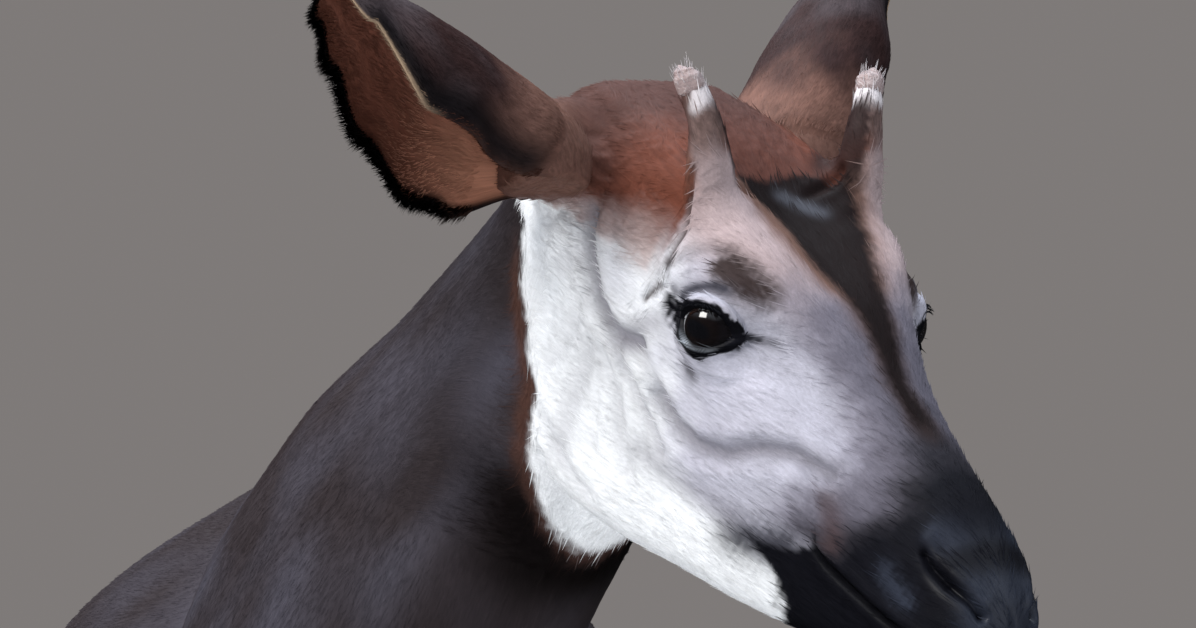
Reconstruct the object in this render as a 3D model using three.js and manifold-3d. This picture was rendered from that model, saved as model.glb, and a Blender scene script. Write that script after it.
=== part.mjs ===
// An okapi, life size, standing square with its head turned to its left and its nose lowered.
// Millimetres, +Z up, the body faces +X. The origin is on the floor under the middle of the animal.
import * as THREE from "three";
import { mergeVertices } from "three/addons/utils/BufferGeometryUtils.js";
import Module from "manifold-3d";

const wasm = await Module();
wasm.setup();

// Driving sizes
const GAP = 0.3; // between two pieces that meet
const MERGE_DISTANCE = 0.02;
const ORIGIN = [175, 58, 0]; // the middle of the animal's box, seen from above, in the body's own frame

// Where the head sits on the neck, and how it is turned
const HEAD_JOINT = [790, 140, 1655];
const HEAD_TURN = 32; // to the left, degrees
const HEAD_DROP = 28; // nose down, degrees

// Eye
const EYE_CENTRE = [192, 71, 47]; // head frame
const EYE_RADIUS = 22;
const EYE_OUTLOOK = [0.28, 0.95, 0.04]; // the way the pupil faces
const LID_HALF_LENGTH = 23;
const LID_UPPER_RISE = 15;
const LID_LOWER_DROP = 12.5;
const LID_TILT = -4; // in the head's frame the front corner is higher than the rear one
const LID_THICKNESS = 3.6;

// Ossicones
const OSSICONE_ROOT = [138, 56, 104];
const OSSICONE_TIP = [92, 77, 177];
const OSSICONE_BARE = 17; // length of the bare bone at the tip

// Ears
const EAR_LENGTH = 263; // from its sunk root to its tip
const EAR_CUT = 47; // how far along it the ear parts from the head
const EAR_THICKNESS = 3.6;

// Feet
const CORONET_HEIGHT = 74; // top of the hoof
const HOOF_LENGTH = 104;
const HOOF_WIDTH = 43; // one toe
const CLEFT = 5; // between two toes

// Tail
const TAIL_LOCKS = 12;
const TAIL_LOCK_LENGTH = 150;

const COLOURS = {
  coat: 0x33262a,
  pale: 0xd9d5da,
  ear: 0x4a2e28,
  bone: 0xd8c8b8,
  eye: 0x0b0a10,
  hoof: 0x2a2524,
  tuft: 0x1d1618,
};

// A repeatable draw, so that the locks differ but every build is the same
function seededDraw(seed) {
  let state = seed;
  return () => {
    state = (state * 1664525 + 1013904223) % 4294967296;
    return state / 4294967296;
  };
}

function vector(p) {
  return new THREE.Vector3(...p);
}

function range(count) {
  return [...Array(count).keys()];
}

// Value at t of stops given as [[t, value], ...], eased from stop to stop
function along(stops, t) {
  const last = stops.length - 1;
  if (t <= stops[0][0]) return stops[0][1];
  if (t >= stops[last][0]) return stops[last][1];
  const next = stops.findIndex((stop) => stop[0] > t);
  const [t0, v0] = stops[next - 1];
  const [t1, v1] = stops[next];
  return v0 + (v1 - v0) * THREE.MathUtils.smoothstep(t, t0, t1);
}

// Frame of the head: x along the face to the muzzle, y to the animal's left, z out of the forehead
const headFrame = new THREE.Matrix4()
  .makeRotationZ(THREE.MathUtils.degToRad(HEAD_TURN))
  .multiply(new THREE.Matrix4().makeRotationY(THREE.MathUtils.degToRad(HEAD_DROP)))
  .setPosition(vector(HEAD_JOINT));

// Solids

function solidOf(geometry) {
  const bare = geometry.clone();
  bare.deleteAttribute("normal");
  bare.deleteAttribute("uv");
  const merged = mergeVertices(bare, 1e-3);
  return new wasm.Manifold(
    new wasm.Mesh({
      numProp: 3,
      vertProperties: new Float32Array(merged.attributes.position.array),
      triVerts: new Uint32Array(merged.index.array),
    }),
  );
}

// The surface of a solid, with corners that lie closer than the merge distance made one
function geometryOf(solid) {
  const made = solid.getMesh();
  const raw = new THREE.BufferGeometry()
    .setAttribute("position", new THREE.BufferAttribute(made.vertProperties, 3))
    .setIndex(new THREE.BufferAttribute(made.triVerts, 1));
  const merged = mergeVertices(raw, MERGE_DISTANCE);
  const corners = [...merged.index.array];
  const triangles = range(corners.length / 3).map((i) => corners.slice(3 * i, 3 * i + 3));
  const whole = triangles.filter(([a, b, c]) => a !== b && b !== c && c !== a);
  return merged.setIndex(whole.flat());
}

function largest(solid) {
  return solid.decompose().sort((a, b) => b.volume() - a.volume())[0];
}

function joined(solids) {
  return solids.reduce((whole, next) => whole.add(next));
}

// Triangles between neighbouring rings, each row a ring
function ringFaces(rows) {
  const count = rows[0].length;
  return range(rows.length - 1).flatMap((i) => {
    return range(count).flatMap((j) => {
      const a = i * count + j;
      const b = i * count + ((j + 1) % count);
      return [a, b, a + count, b, b + count, a + count];
    });
  });
}

// A closed skin over rings, with a fan at both ends
function ringSkin(rows) {
  const count = rows[0].length;
  const points = rows.flat();
  const faces = ringFaces(rows);
  for (const [start, flip] of [[0, true], [(rows.length - 1) * count, false]]) {
    const ring = points.slice(start, start + count);
    const middle = ring.reduce((sum, p) => sum.add(p), new THREE.Vector3()).divideScalar(count);
    const hub = points.push(middle) - 1;
    for (let j = 0; j < count; j++) {
      const a = start + j;
      const b = start + ((j + 1) % count);
      faces.push(...(flip ? [b, a, hub] : [a, b, hub]));
    }
  }
  return new THREE.BufferGeometry().setFromPoints(points).setIndex(faces);
}

// A closed skin over the rows of a bent sheet: a row goes out along one face and back along the other
function sheetSkin(rows) {
  const count = rows[0].length;
  const faces = ringFaces(rows);
  for (const [start, flip] of [[0, true], [(rows.length - 1) * count, false]]) {
    for (let k = 0; k < count / 2 - 1; k++) {
      const [a, b, c, d] = [k, k + 1, count - 2 - k, count - 1 - k].map((at) => start + at);
      faces.push(...(flip ? [b, a, c, a, d, c] : [a, b, c, a, c, d]));
    }
  }
  return new THREE.BufferGeometry().setFromPoints(rows.flat()).setIndex(faces);
}

function outward(solid, geometry) {
  if (solid.volume() > 0) return solid;
  const index = geometry.index.array;
  for (let i = 0; i < index.length; i += 3) [index[i], index[i + 1]] = [index[i + 1], index[i]];
  return solidOf(geometry);
}

// A smooth body through a few rings that have the same number of points
function loft(rings, fill, sides) {
  const steps = (rings.length - 1) * fill;
  const rounds = rings.map((ring) => {
    return new THREE.CatmullRomCurve3(ring, true, "centripetal").getPoints(sides).slice(0, sides);
  });
  const lines = range(sides).map((j) => {
    const stops = rounds.map((round) => round[j]);
    return new THREE.CatmullRomCurve3(stops, false, "centripetal").getPoints(steps);
  });
  const rows = range(steps + 1).map((i) => lines.map((line) => line[i]));
  const geometry = ringSkin(rows);
  return outward(solidOf(geometry), geometry);
}

// Ring of a section that is the same left and right. half runs from the top to the bottom as [side, height]
function mirroredRing(half, place) {
  const left = half.map(([side, height]) => [side, height]);
  const right = half.slice(1, -1).reverse().map(([side, height]) => [-side, height]);
  return [...left, ...right].map(([side, height]) => place(side, height));
}

function ball(centre, radii, segments = 14) {
  const geometry = new THREE.SphereGeometry(1, segments, Math.round(segments * 0.7));
  geometry.scale(...radii);
  geometry.translate(...centre);
  return solidOf(geometry);
}

// A tube whose radius changes along a path, used for ridges, horns and the tail
function taperedTube(points, radii, steps, sides) {
  const path = new THREE.CatmullRomCurve3(points, false, "centripetal");
  const frames = path.computeFrenetFrames(steps, false);
  const rows = range(steps + 1).map((i) => {
    const t = i / steps;
    const radius = along(radii, t);
    const centre = path.getPoint(t);
    return range(sides).map((j) => {
      const angle = (2 * Math.PI * j) / sides;
      return centre
        .clone()
        .addScaledVector(frames.normals[i], radius * Math.cos(angle))
        .addScaledVector(frames.binormals[i], radius * Math.sin(angle));
    });
  });
  const geometry = ringSkin(rows);
  return outward(solidOf(geometry), geometry);
}

function inHead(solid) {
  return solid.transform(headFrame.elements);
}

function mirrored(solid) {
  return solid.mirror([0, 1, 0]);
}

function bothSides(solid) {
  return solid.add(mirrored(solid));
}

// Torso: x, then the half section from the spine to the belly
const TORSO = [
  [640, [[0, 1180], [26, 1168], [40, 1130], [38, 1090], [22, 1062], [0, 1056]]],
  [610, [[0, 1240], [52, 1218], [96, 1160], [104, 1090], [68, 1014], [0, 990]]],
  [570, [[0, 1310], [66, 1282], [130, 1200], [146, 1100], [98, 984], [0, 950]]],
  [480, [[0, 1425], [66, 1396], [158, 1288], [190, 1125], [128, 950], [0, 900]]],
  [360, [[0, 1496], [62, 1466], [184, 1350], [212, 1140], [142, 930], [0, 878]]],
  [240, [[0, 1512], [66, 1484], [198, 1374], [228, 1140], [152, 912], [0, 860]]],
  [60, [[0, 1474], [72, 1444], [204, 1346], [242, 1128], [168, 902], [0, 846]]],
  [-150, [[0, 1428], [76, 1402], [196, 1300], [254, 1118], [176, 902], [0, 850]]],
  [-350, [[0, 1405], [88, 1380], [202, 1290], [238, 1130], [160, 940], [0, 884]]],
  [-500, [[0, 1394], [98, 1368], [200, 1280], [226, 1145], [148, 985], [0, 935]]],
  [-620, [[0, 1352], [84, 1328], [166, 1255], [190, 1150], [128, 1030], [0, 985]]],
  [-700, [[0, 1272], [58, 1250], [108, 1205], [116, 1145], [82, 1078], [0, 1050]]],
  [-728, [[0, 1200], [24, 1194], [40, 1174], [38, 1150], [24, 1128], [0, 1122]]],
];

function torsoSolid() {
  const rings = TORSO.map(([x, half]) => {
    return mirroredRing(half, (side, height) => new THREE.Vector3(x, side, height));
  });
  return loft(rings, 2, 26);
}

// Neck: centre, half depth above and below it, half width
const NECK = [
  [[350, -8, 1200], 215, 190, 146],
  [[450, -10, 1290], 194, 182, 136],
  [[540, 0, 1382], 155, 160, 122],
  [[625, 36, 1472], 130, 140, 106],
  [[700, 82, 1550], 107, 128, 87],
  [[758, 118, 1612], 98, 118, 77],
  [[806, 144, 1662], 92, 98, 70],
];

function neckSolid() {
  const path = new THREE.CatmullRomCurve3(NECK.map(([centre]) => vector(centre)), false, "centripetal");
  const rings = NECK.map(([centre, above, below, width], i) => {
    const ahead = path.getTangent(i / (NECK.length - 1));
    const side = new THREE.Vector3(-ahead.y, ahead.x, 0).normalize();
    const up = new THREE.Vector3().crossVectors(ahead, side);
    const half = [
      [0, above],
      [0.5 * width, 0.82 * above],
      [0.93 * width, 0.3 * above],
      [0.94 * width, -0.36 * below],
      [0.58 * width, -0.84 * below],
      [0, -below],
    ];
    return mirroredRing(half, (s, h) => vector(centre).addScaledVector(side, s).addScaledVector(up, h));
  });
  return loft(rings, 3, 22);
}

// Head: x, then crown, brow, side, cheek, jaw and keel of the half section
const HEAD = [
  [-62, [[0, 60], [34, 54], [54, 18], [56, -30], [38, -72], [0, -84]]],
  [-24, [[0, 109], [50, 104], [68, 48], [66, -30], [46, -96], [0, -112]]],
  [28, [[0, 126], [52, 114], [76, 60], [71, -34], [56, -114], [0, -131]]],
  [82, [[0, 122], [56, 118], [80, 62], [72, -42], [58, -126], [0, -144]]],
  [134, [[0, 105], [60, 116], [80, 58], [67, -44], [50, -128], [0, -145]]],
  [188, [[0, 94], [58, 100], [75, 50], [61, -38], [41, -122], [0, -138]]],
  [236, [[0, 84], [44, 78], [64, 31], [57, -38], [37, -116], [0, -130]]],
  [290, [[0, 62], [29, 55], [50, 11], [52, -40], [33, -106], [0, -119]]],
  [345, [[0, 43], [24, 37], [42, -1], [48, -42], [32, -94], [0, -106]]],
  [392, [[0, 28], [23, 22], [41, -7], [46, -44], [31, -84], [0, -95]]],
  [424, [[0, 11], [21, 5], [37, -15], [42, -43], [28, -74], [0, -84]]],
  [446, [[0, -7], [18, -11], [29, -22], [31, -42], [20, -61], [0, -69]]],
  [456, [[0, -20], [9, -22], [14, -26], [15, -38], [9, -48], [0, -51]]],
];

function headRings(shrink = 1) {
  return HEAD.map(([x, half]) => {
    const middle = (half[0][1] + half[5][1]) / 2;
    return mirroredRing(half, (side, height) => {
      return new THREE.Vector3(x, side * shrink, middle + (height - middle) * shrink);
    });
  });
}

function headSolid() {
  const orbit = ball([189, 58, 48], [46, 34, 38]);
  const earMound = ball([-3, 65, 68], [36, 38, 36], 9);
  const flesh = loft(headRings(), 2, 28).add(bothSides(joined([orbit, earMound])));
  return flesh.subtract(bothSides(eyeOpening()));
}

// Half width of the head at a place along the face and a height
function headSide(x, height) {
  const next = Math.max(1, HEAD.findIndex(([station]) => station > x));
  const [x0, half0] = HEAD[next - 1];
  const [x1, half1] = HEAD[next];
  const share = (x - x0) / (x1 - x0);
  const half = half0.map(([side, z], i) => {
    return [side + (half1[i][0] - side) * share, z + (half1[i][1] - z) * share];
  });
  const below = Math.max(1, half.findIndex(([, z]) => z < height));
  const [y0, z0] = half[below - 1];
  const [y1, z1] = half[below];
  return y0 + ((y1 - y0) * (z0 - height)) / (z0 - z1);
}

// The line of the mouth on the side of the muzzle, from its corner to the front: [x, height]
const MOUTH = [[312, -37], [326, -45], [352, -48], [392, -50], [434, -50], [478, -46]];
const MOUTH_SLIT = 2.6;
const MOUTH_DEPTH_SHARE = 0.86; // the slit stops where the muzzle is this share of its size

function mouthCut() {
  const upper = MOUTH.map(([x, z]) => new THREE.Vector2(x, z + MOUTH_SLIT / 2));
  const lower = MOUTH.map(([x, z]) => new THREE.Vector2(x, z - MOUTH_SLIT / 2)).reverse();
  const outline = new THREE.Shape([...upper, ...lower]);
  const plate = new THREE.ExtrudeGeometry(outline, { depth: 130, bevelEnabled: false });
  plate.translate(0, 0, -65);
  plate.rotateX(Math.PI / 2);
  return solidOf(plate).subtract(loft(headRings(MOUTH_DEPTH_SHARE), 2, 16));
}

// A ridge that follows the side of the muzzle a little above or below the line of the mouth
function lip(rise, thickness) {
  const points = MOUTH.slice(0, -1).map(([x, z]) => {
    const height = z + rise;
    return new THREE.Vector3(x, headSide(x, height) - thickness * 0.45, height);
  });
  return taperedTube(points, [[0, 1.5], [0.25, thickness], [1, thickness]], 8, 6);
}

// Nostril: a long slit that runs back from the front of the muzzle, with a fold above it
const NOSTRIL = [[446, -17], [436, -11], [418, -8], [397, -1]];

function nostrilCut() {
  const points = NOSTRIL.map(([x, z]) => new THREE.Vector3(x, headSide(x, z) + 1, z));
  return taperedTube(points, [[0, 4.6], [0.4, 4.2], [1, 1.2]], 8, 6);
}

function nostrilFold() {
  const points = NOSTRIL.map(([x, z]) => new THREE.Vector3(x, headSide(x, z + 8) - 3, z + 8));
  return taperedTube(points, [[0, 5], [0.5, 5.5], [1, 2]], 7, 6);
}

// The eye's own axes: forward along the slit, up, and out of the head
const eyeOut = vector(EYE_OUTLOOK).normalize();
const eyeForward = new THREE.Vector3(1, 0, 0).addScaledVector(eyeOut, -eyeOut.x).normalize();
const eyeUp = new THREE.Vector3().crossVectors(eyeForward, eyeOut);

// Edge of one lid as [forward, up] from the eye's centre, rear corner first
function lidEdge(rise, count) {
  return range(count).map((i) => {
    const share = (2 * i) / (count - 1) - 1;
    return [LID_HALF_LENGTH * share, rise * (1 - share * share) ** 0.8 - LID_TILT * share];
  });
}

// Everything in front of the eyeball between the two lids
function eyeOpening() {
  const upper = lidEdge(LID_UPPER_RISE, 9);
  const lower = lidEdge(-LID_LOWER_DROP, 9).slice(1, -1).reverse();
  const outline = new THREE.Shape([...upper, ...lower].map(([ahead, rise]) => new THREE.Vector2(ahead, rise)));
  const plug = new THREE.ExtrudeGeometry(outline, { depth: 40, bevelEnabled: false });
  plug.applyMatrix4(new THREE.Matrix4().makeBasis(eyeForward, eyeUp, eyeForward.clone().cross(eyeUp)));
  const back = eyeOut.dot(eyeForward.clone().cross(eyeUp)) > 0 ? 6 : 46;
  plug.translate(...vector(EYE_CENTRE).addScaledVector(eyeOut, back).toArray());
  return solidOf(plug);
}

// A lid: a soft ridge along the edge of the opening, hugging the eyeball
function lid(rise, thickness) {
  const points = lidEdge(rise, 9).map(([ahead, height]) => {
    const reach = Math.sqrt(Math.max(90, (EYE_RADIUS + 1.5) ** 2 - ahead ** 2 - height ** 2));
    return vector(EYE_CENTRE)
      .addScaledVector(eyeForward, ahead)
      .addScaledVector(eyeUp, height * 1.08)
      .addScaledVector(eyeOut, reach);
  });
  return taperedTube(points, [[0, 2.5], [0.5, thickness], [1, 2.5]], 10, 6);
}

function ossicone() {
  const root = vector(OSSICONE_ROOT);
  const tip = vector(OSSICONE_TIP);
  const middle = root.clone().lerp(tip, 0.55).add(new THREE.Vector3(3, -3, 5));
  const sunk = root.clone().add(new THREE.Vector3(14, -14, -24));
  const stem = [[0, 26], [0.22, 25], [0.45, 17], [0.75, 12], [0.93, 11.5], [1, 8]];
  return taperedTube([sunk, root, middle, tip], stem, 12, 12);
}

// Ears: the way each points, the way its cup faces, its share of the full width and how curled it is
// along its length, then the full width of an ear from its middle line to its two margins
const EAR_POSES = {
  right: {
    root: [1, 56, 69],
    points: [-0.055, 0.883, 0.467],
    faces: [0.65, 0.39, -0.65],
    spread: 1,
    curl: [[0, 1.9], [0.22, 1.7], [0.44, 2], [0.72, 1.75], [1, 1.6]],
  },
  left: {
    root: [19, 63, 58],
    points: [-0.636, 0.698, 0.329],
    faces: [0.14, 0.52, -0.84],
    spread: 0.86,
    curl: [[0, 1.9], [0.22, 1.7], [0.44, 2.2], [0.72, 1.9], [1, 1.1]],
  },
};
const EAR_FRONT = [[0, 38], [0.07, 60], [0.2, 103], [0.44, 122], [0.72, 110], [0.91, 52], [1, 4]];
const EAR_REAR = [[0, 38], [0.07, 59], [0.2, 98], [0.37, 112], [0.55, 94], [0.74, 62], [0.89, 40], [1, 4]];
const EAR_BOW = 6; // how far the back of the ear bulges away from its cup

function earSolid({ root, points, faces, spread, curl }) {
  const length = vector(points).normalize();
  const facing = vector(faces);
  facing.addScaledVector(length, -facing.dot(length)).normalize();
  const across = new THREE.Vector3().crossVectors(length, facing);
  const steps = 13;
  const sides = 11;
  const point = (t, v, inset) => {
    const widths = [EAR_FRONT, EAR_REAR].map((stops) => along(stops, t) * spread);
    const radius = (widths[0] + widths[1]) / 2 / along(curl, t);
    const angle = (v * widths[v < 0 ? 0 : 1]) / radius;
    const reach = radius - inset;
    return vector(root)
      .addScaledVector(length, EAR_LENGTH * t)
      .addScaledVector(across, reach * Math.sin(angle))
      .addScaledVector(facing, radius - reach * Math.cos(angle) - EAR_BOW * Math.sin(Math.PI * t));
  };
  const rows = range(steps + 1).map((i) => {
    const t = i / steps;
    const outer = range(sides + 1).map((j) => point(t, (2 * j) / sides - 1, 0));
    const inner = range(sides + 1).map((j) => point(t, 1 - (2 * j) / sides, EAR_THICKNESS));
    return [...outer, ...inner];
  });
  const geometry = sheetSkin(rows);
  return outward(solidOf(geometry), geometry);
}

// Legs: height, x of the centre, front, back, half width, y of the centre
const FORELEG = [
  [1200, 415, 70, 95, 40, 128],
  [1090, 410, 95, 125, 58, 146],
  [985, 380, 92, 118, 64, 150],
  [890, 352, 66, 80, 56, 140],
  [780, 345, 50, 48, 44, 130],
  [640, 346, 40, 36, 36, 124],
  [540, 348, 37, 33, 35, 121],
  [490, 350, 40, 34, 40, 120],
  [450, 349, 38, 34, 39, 120],
  [402, 345, 27, 29, 29, 119],
  [300, 344, 24, 27, 24, 118],
  [220, 344, 25, 29, 26, 117],
  [176, 346, 31, 36, 33, 116],
  [140, 352, 29, 31, 30, 116],
  [104, 364, 28, 28, 28, 116],
  [CORONET_HEIGHT - 4, 378, 38, 34, 38, 116],
];
const HINDLEG = [
  [1260, -500, 130, 110, 50, 120],
  [1130, -528, 160, 160, 76, 138],
  [1000, -542, 150, 150, 84, 142],
  [900, -556, 122, 120, 74, 138],
  [800, -592, 84, 82, 58, 130],
  [700, -634, 56, 57, 44, 124],
  [620, -666, 42, 47, 36, 121],
  [566, -684, 42, 52, 36, 120],
  [520, -684, 42, 45, 38, 120],
  [470, -678, 32, 36, 31, 119],
  [400, -673, 27, 31, 26, 118],
  [290, -669, 26, 29, 25, 117],
  [215, -667, 27, 31, 27, 116],
  [172, -665, 31, 36, 33, 116],
  [138, -658, 29, 31, 30, 116],
  [104, -646, 28, 28, 28, 116],
  [CORONET_HEIGHT - 4, -632, 38, 34, 38, 116],
];

function legSolid(stations, side, stride) {
  const top = stations[0][0];
  const rings = stations.map(([height, x, front, back, half, y]) => {
    const shift = stride * (1 - height / top);
    return range(8).map((i) => {
      const angle = (2 * Math.PI * i) / 8;
      const reach = Math.cos(angle) > 0 ? front : back;
      return new THREE.Vector3(
        x + shift + reach * Math.cos(angle),
        side * (y + half * Math.sin(angle)),
        height,
      );
    });
  });
  return loft(rings, 2, 12);
}

// One toe of a hoof: a wedge with a level sole and a rounded front
function hoofSolid(x, y) {
  const outlineAt = (length, width, heel) => {
    return range(10).map((i) => {
      const angle = (2 * Math.PI * i) / 10;
      const ahead = Math.cos(angle) * (length / 2);
      const pinch = Math.cos(angle) > 0 ? 1 - 0.35 * Math.cos(angle) ** 2 : 1;
      return [ahead + heel, (Math.sin(angle) * width * pinch) / 2];
    });
  };
  const sole = outlineAt(HOOF_LENGTH, HOOF_WIDTH, 12);
  const crown = outlineAt(HOOF_LENGTH * 0.68, HOOF_WIDTH * 0.86, -4);
  const rows = [[sole, 0], [crown, CORONET_HEIGHT - 6]].map(([outline, height]) => {
    return outline.map(([ahead, side]) => new THREE.Vector3(x + ahead, y + side, height));
  });
  const geometry = ringSkin(rows);
  return outward(solidOf(geometry), geometry);
}

// Tail: the dock and the locks of its tuft
const TAIL = [[-630, 0, 1285], [-700, 0, 1278], [-744, 0, 1215], [-757, 0, 1110], [-755, 0, 985]];

function tailSolid() {
  return taperedTube(TAIL.map(vector), [[0, 38], [0.22, 28], [0.6, 16], [1, 11]], 14, 10);
}

function tuftSolid() {
  const draw = seededDraw(11);
  const root = vector(TAIL[TAIL.length - 1]).add(new THREE.Vector3(0, 0, 34));
  const core = taperedTube(
    [root, root.clone().add(new THREE.Vector3(0, 0, -60)), root.clone().add(new THREE.Vector3(0, 0, -92))],
    [[0, 8], [0.5, 12], [1, 3]],
    6,
    8,
  );
  const locks = range(TAIL_LOCKS).map((i) => {
    const angle = (2 * Math.PI * (i + 0.4 * draw())) / TAIL_LOCKS;
    const out = new THREE.Vector3(Math.cos(angle), Math.sin(angle), 0);
    const start = root.clone().add(new THREE.Vector3(0, 0, -34 * (i % 3) * 0.5));
    const reach = TAIL_LOCK_LENGTH * (0.8 + 0.35 * draw());
    const spread = 13 + 12 * draw();
    const points = [
      start.clone().addScaledVector(out, 4),
      start.clone().addScaledVector(out, spread).add(new THREE.Vector3(0, 0, -0.35 * reach)),
      start.clone().addScaledVector(out, spread * 1.15).add(new THREE.Vector3(0, 0, -0.7 * reach)),
      start.clone().addScaledVector(out, spread * (0.5 + 0.5 * draw())).add(new THREE.Vector3(0, 0, -reach)),
    ];
    return taperedTube(points, [[0, 3], [0.3, 7.5], [0.7, 6], [1, 0.6]], 6, 5);
  });
  return joined([core, ...locks]);
}

// The whole animal
const SIDES = [["right", -1], ["left", 1]];
const STRIDES = { fore_right: 26, fore_left: -22, hind_right: -34, hind_left: 24 };

let head = headSolid();
head = head.add(bothSides(joined([lip(4, 4.2), lip(-5, 4), nostrilFold()])));
head = head.add(bothSides(lid(LID_UPPER_RISE, LID_THICKNESS).add(lid(-LID_LOWER_DROP, LID_THICKNESS))));
head = head.add(bothSides(ossicone()));
head = head.add(earSolid(EAR_POSES.left)).add(mirrored(earSolid(EAR_POSES.right)));
head = head.subtract(mouthCut()).subtract(bothSides(nostrilCut()));
head = head.subtract(bothSides(ball(EYE_CENTRE, Array(3).fill(EYE_RADIUS + GAP))));

const legs = SIDES.flatMap(([name, side]) => [
  legSolid(FORELEG, side, STRIDES["fore_" + name]),
  legSolid(HINDLEG, side, STRIDES["hind_" + name]),
]);
let flesh = joined([torsoSolid(), neckSolid(), inHead(head), ...legs, tailSolid().add(tuftSolid())]);

// Cutting: a box that holds one piece is taken out of the flesh, with a thin gap all round it
function cutBox(size, matrix, grow) {
  const geometry = new THREE.BoxGeometry(...size.map((length) => length + 2 * grow));
  geometry.applyMatrix4(matrix);
  return solidOf(geometry);
}

const okapi = new THREE.Group();
okapi.name = "okapi";
okapi.position.set(-ORIGIN[0], -ORIGIN[1], -ORIGIN[2]);

function addNode(name, solid, colour) {
  const material = new THREE.MeshStandardMaterial({ color: colour, roughness: 0.8, metalness: 0 });
  const mesh = new THREE.Mesh(geometryOf(largest(solid)), material);
  mesh.name = name;
  okapi.add(mesh);
}

function part(name, size, matrix, colour) {
  addNode(name, flesh.intersect(cutBox(size, matrix, 0)), colour);
  flesh = flesh.subtract(cutBox(size, matrix, GAP));
}

// A box of a size whose back face is centred at a point, with its length along a direction
function facing(point, direction, length) {
  const ahead = vector(direction).normalize();
  const turn = new THREE.Quaternion().setFromUnitVectors(new THREE.Vector3(1, 0, 0), ahead);
  const centre = vector(point).addScaledVector(ahead, length / 2);
  return new THREE.Matrix4().compose(centre, turn, new THREE.Vector3(1, 1, 1));
}

function facingInHead(point, direction, length) {
  return headFrame.clone().multiply(facing(point, direction, length));
}

for (const [name, side] of SIDES) {
  const flip = ([x, y, z]) => [x, side * y, z];
  const tip = vector(OSSICONE_TIP);
  const axis = tip.clone().sub(vector(OSSICONE_ROOT)).normalize();
  const bare = tip.clone().addScaledVector(axis, -OSSICONE_BARE).toArray();
  const stem = vector(OSSICONE_ROOT).addScaledVector(axis, 30).toArray();
  part("ossicone_tip_" + name, [80, 60, 60], facingInHead(flip(bare), flip(axis.toArray()), 80), COLOURS.bone);
  part("ossicone_" + name, [120, 80, 80], facingInHead(flip(stem), flip(axis.toArray()), 120), COLOURS.pale);
  const points = vector(EAR_POSES[name].points).normalize();
  const earCut = vector(EAR_POSES[name].root).addScaledVector(points, EAR_CUT).toArray();
  const earBox = facingInHead(flip(earCut), flip(points.toArray()), 320);
  part("ear_" + name, [320, 220, 220], earBox, COLOURS.ear);
  const eye = ball(flip(EYE_CENTRE), Array(3).fill(EYE_RADIUS));
  addNode("eye_" + name, inHead(eye), COLOURS.eye);
}

part("head", [700, 700, 900], facingInHead([14, 0, -60], [0.88, 0, 0.475], 700), COLOURS.pale);
part("neck_upper", [500, 500, 900], facing([640, 56, 1488], [0.66, 0.26, 0.7], 500), COLOURS.coat);
part("neck_lower", [500, 700, 1000], facing([505, 0, 1320], [0.72, 0.06, 0.69], 500), COLOURS.coat);

// Each leg: the middle of its cuts as [x, knee or hock height, elbow or stifle height, half of its depth]
const LEG_CUTS = { fore: [370, 452, 866, 130], hind: [-575, 560, 925, 190] };
for (const [name, side] of SIDES) {
  for (const [leg, [x, low, high, half]] of Object.entries(LEG_CUTS)) {
    const below = facing([x, side * 125, low], [0, 0, -1], 600);
    part(leg + "leg_lower_" + name, [600, 240, 2 * half], below, COLOURS.pale);
    const above = facing([x, side * 125, high], [0, 0, -1], 500);
    part(leg + "leg_upper_" + name, [500, 240, 2 * half], above, COLOURS.coat);
  }
}
part("tail_tuft", [300, 120, 160], facing([-755, 0, 1010], [0, 0, -1], 300), COLOURS.tuft);
part("tail", [300, 120, 420], facing([-716, 0, 1270], [-0.75, 0, -0.66], 300), COLOURS.coat);
addNode("torso", flesh, COLOURS.coat);

for (const [name, side] of SIDES) {
  for (const [leg, stations] of [["fore", FORELEG], ["hind", HINDLEG]]) {
    const [, x, , , , y] = stations[stations.length - 1];
    for (const [toe, sign] of [["inner", -1], ["outer", 1]]) {
      const across = side * (y + (sign * (HOOF_WIDTH + CLEFT)) / 2);
      const solid = hoofSolid(x + STRIDES[leg + "_" + name], across);
      addNode(leg + "hoof_" + toe + "_" + name, solid, COLOURS.hoof);
    }
  }
}

export default okapi;
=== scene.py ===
import math

import bmesh
import bpy
import numpy as np
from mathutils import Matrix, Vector
from mathutils.bvhtree import BVHTree


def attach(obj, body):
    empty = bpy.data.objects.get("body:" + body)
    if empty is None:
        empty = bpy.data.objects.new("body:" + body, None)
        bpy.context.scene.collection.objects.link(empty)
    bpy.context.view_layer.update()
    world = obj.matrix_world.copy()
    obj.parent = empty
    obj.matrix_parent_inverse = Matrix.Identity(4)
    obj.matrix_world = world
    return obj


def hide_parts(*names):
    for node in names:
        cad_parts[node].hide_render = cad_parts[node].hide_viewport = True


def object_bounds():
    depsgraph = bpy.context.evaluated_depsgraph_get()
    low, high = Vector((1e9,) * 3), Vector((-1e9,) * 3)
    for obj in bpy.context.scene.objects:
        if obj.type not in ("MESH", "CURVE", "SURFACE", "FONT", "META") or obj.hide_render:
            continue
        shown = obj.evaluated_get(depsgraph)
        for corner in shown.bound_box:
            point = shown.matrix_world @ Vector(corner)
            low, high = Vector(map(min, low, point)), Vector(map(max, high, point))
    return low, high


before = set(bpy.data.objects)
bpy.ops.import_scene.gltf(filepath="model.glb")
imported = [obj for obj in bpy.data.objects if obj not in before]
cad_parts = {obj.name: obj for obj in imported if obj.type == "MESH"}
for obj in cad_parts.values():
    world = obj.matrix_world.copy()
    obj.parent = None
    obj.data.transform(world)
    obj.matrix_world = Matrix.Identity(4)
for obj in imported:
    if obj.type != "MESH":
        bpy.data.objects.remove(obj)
cad_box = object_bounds()

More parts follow.
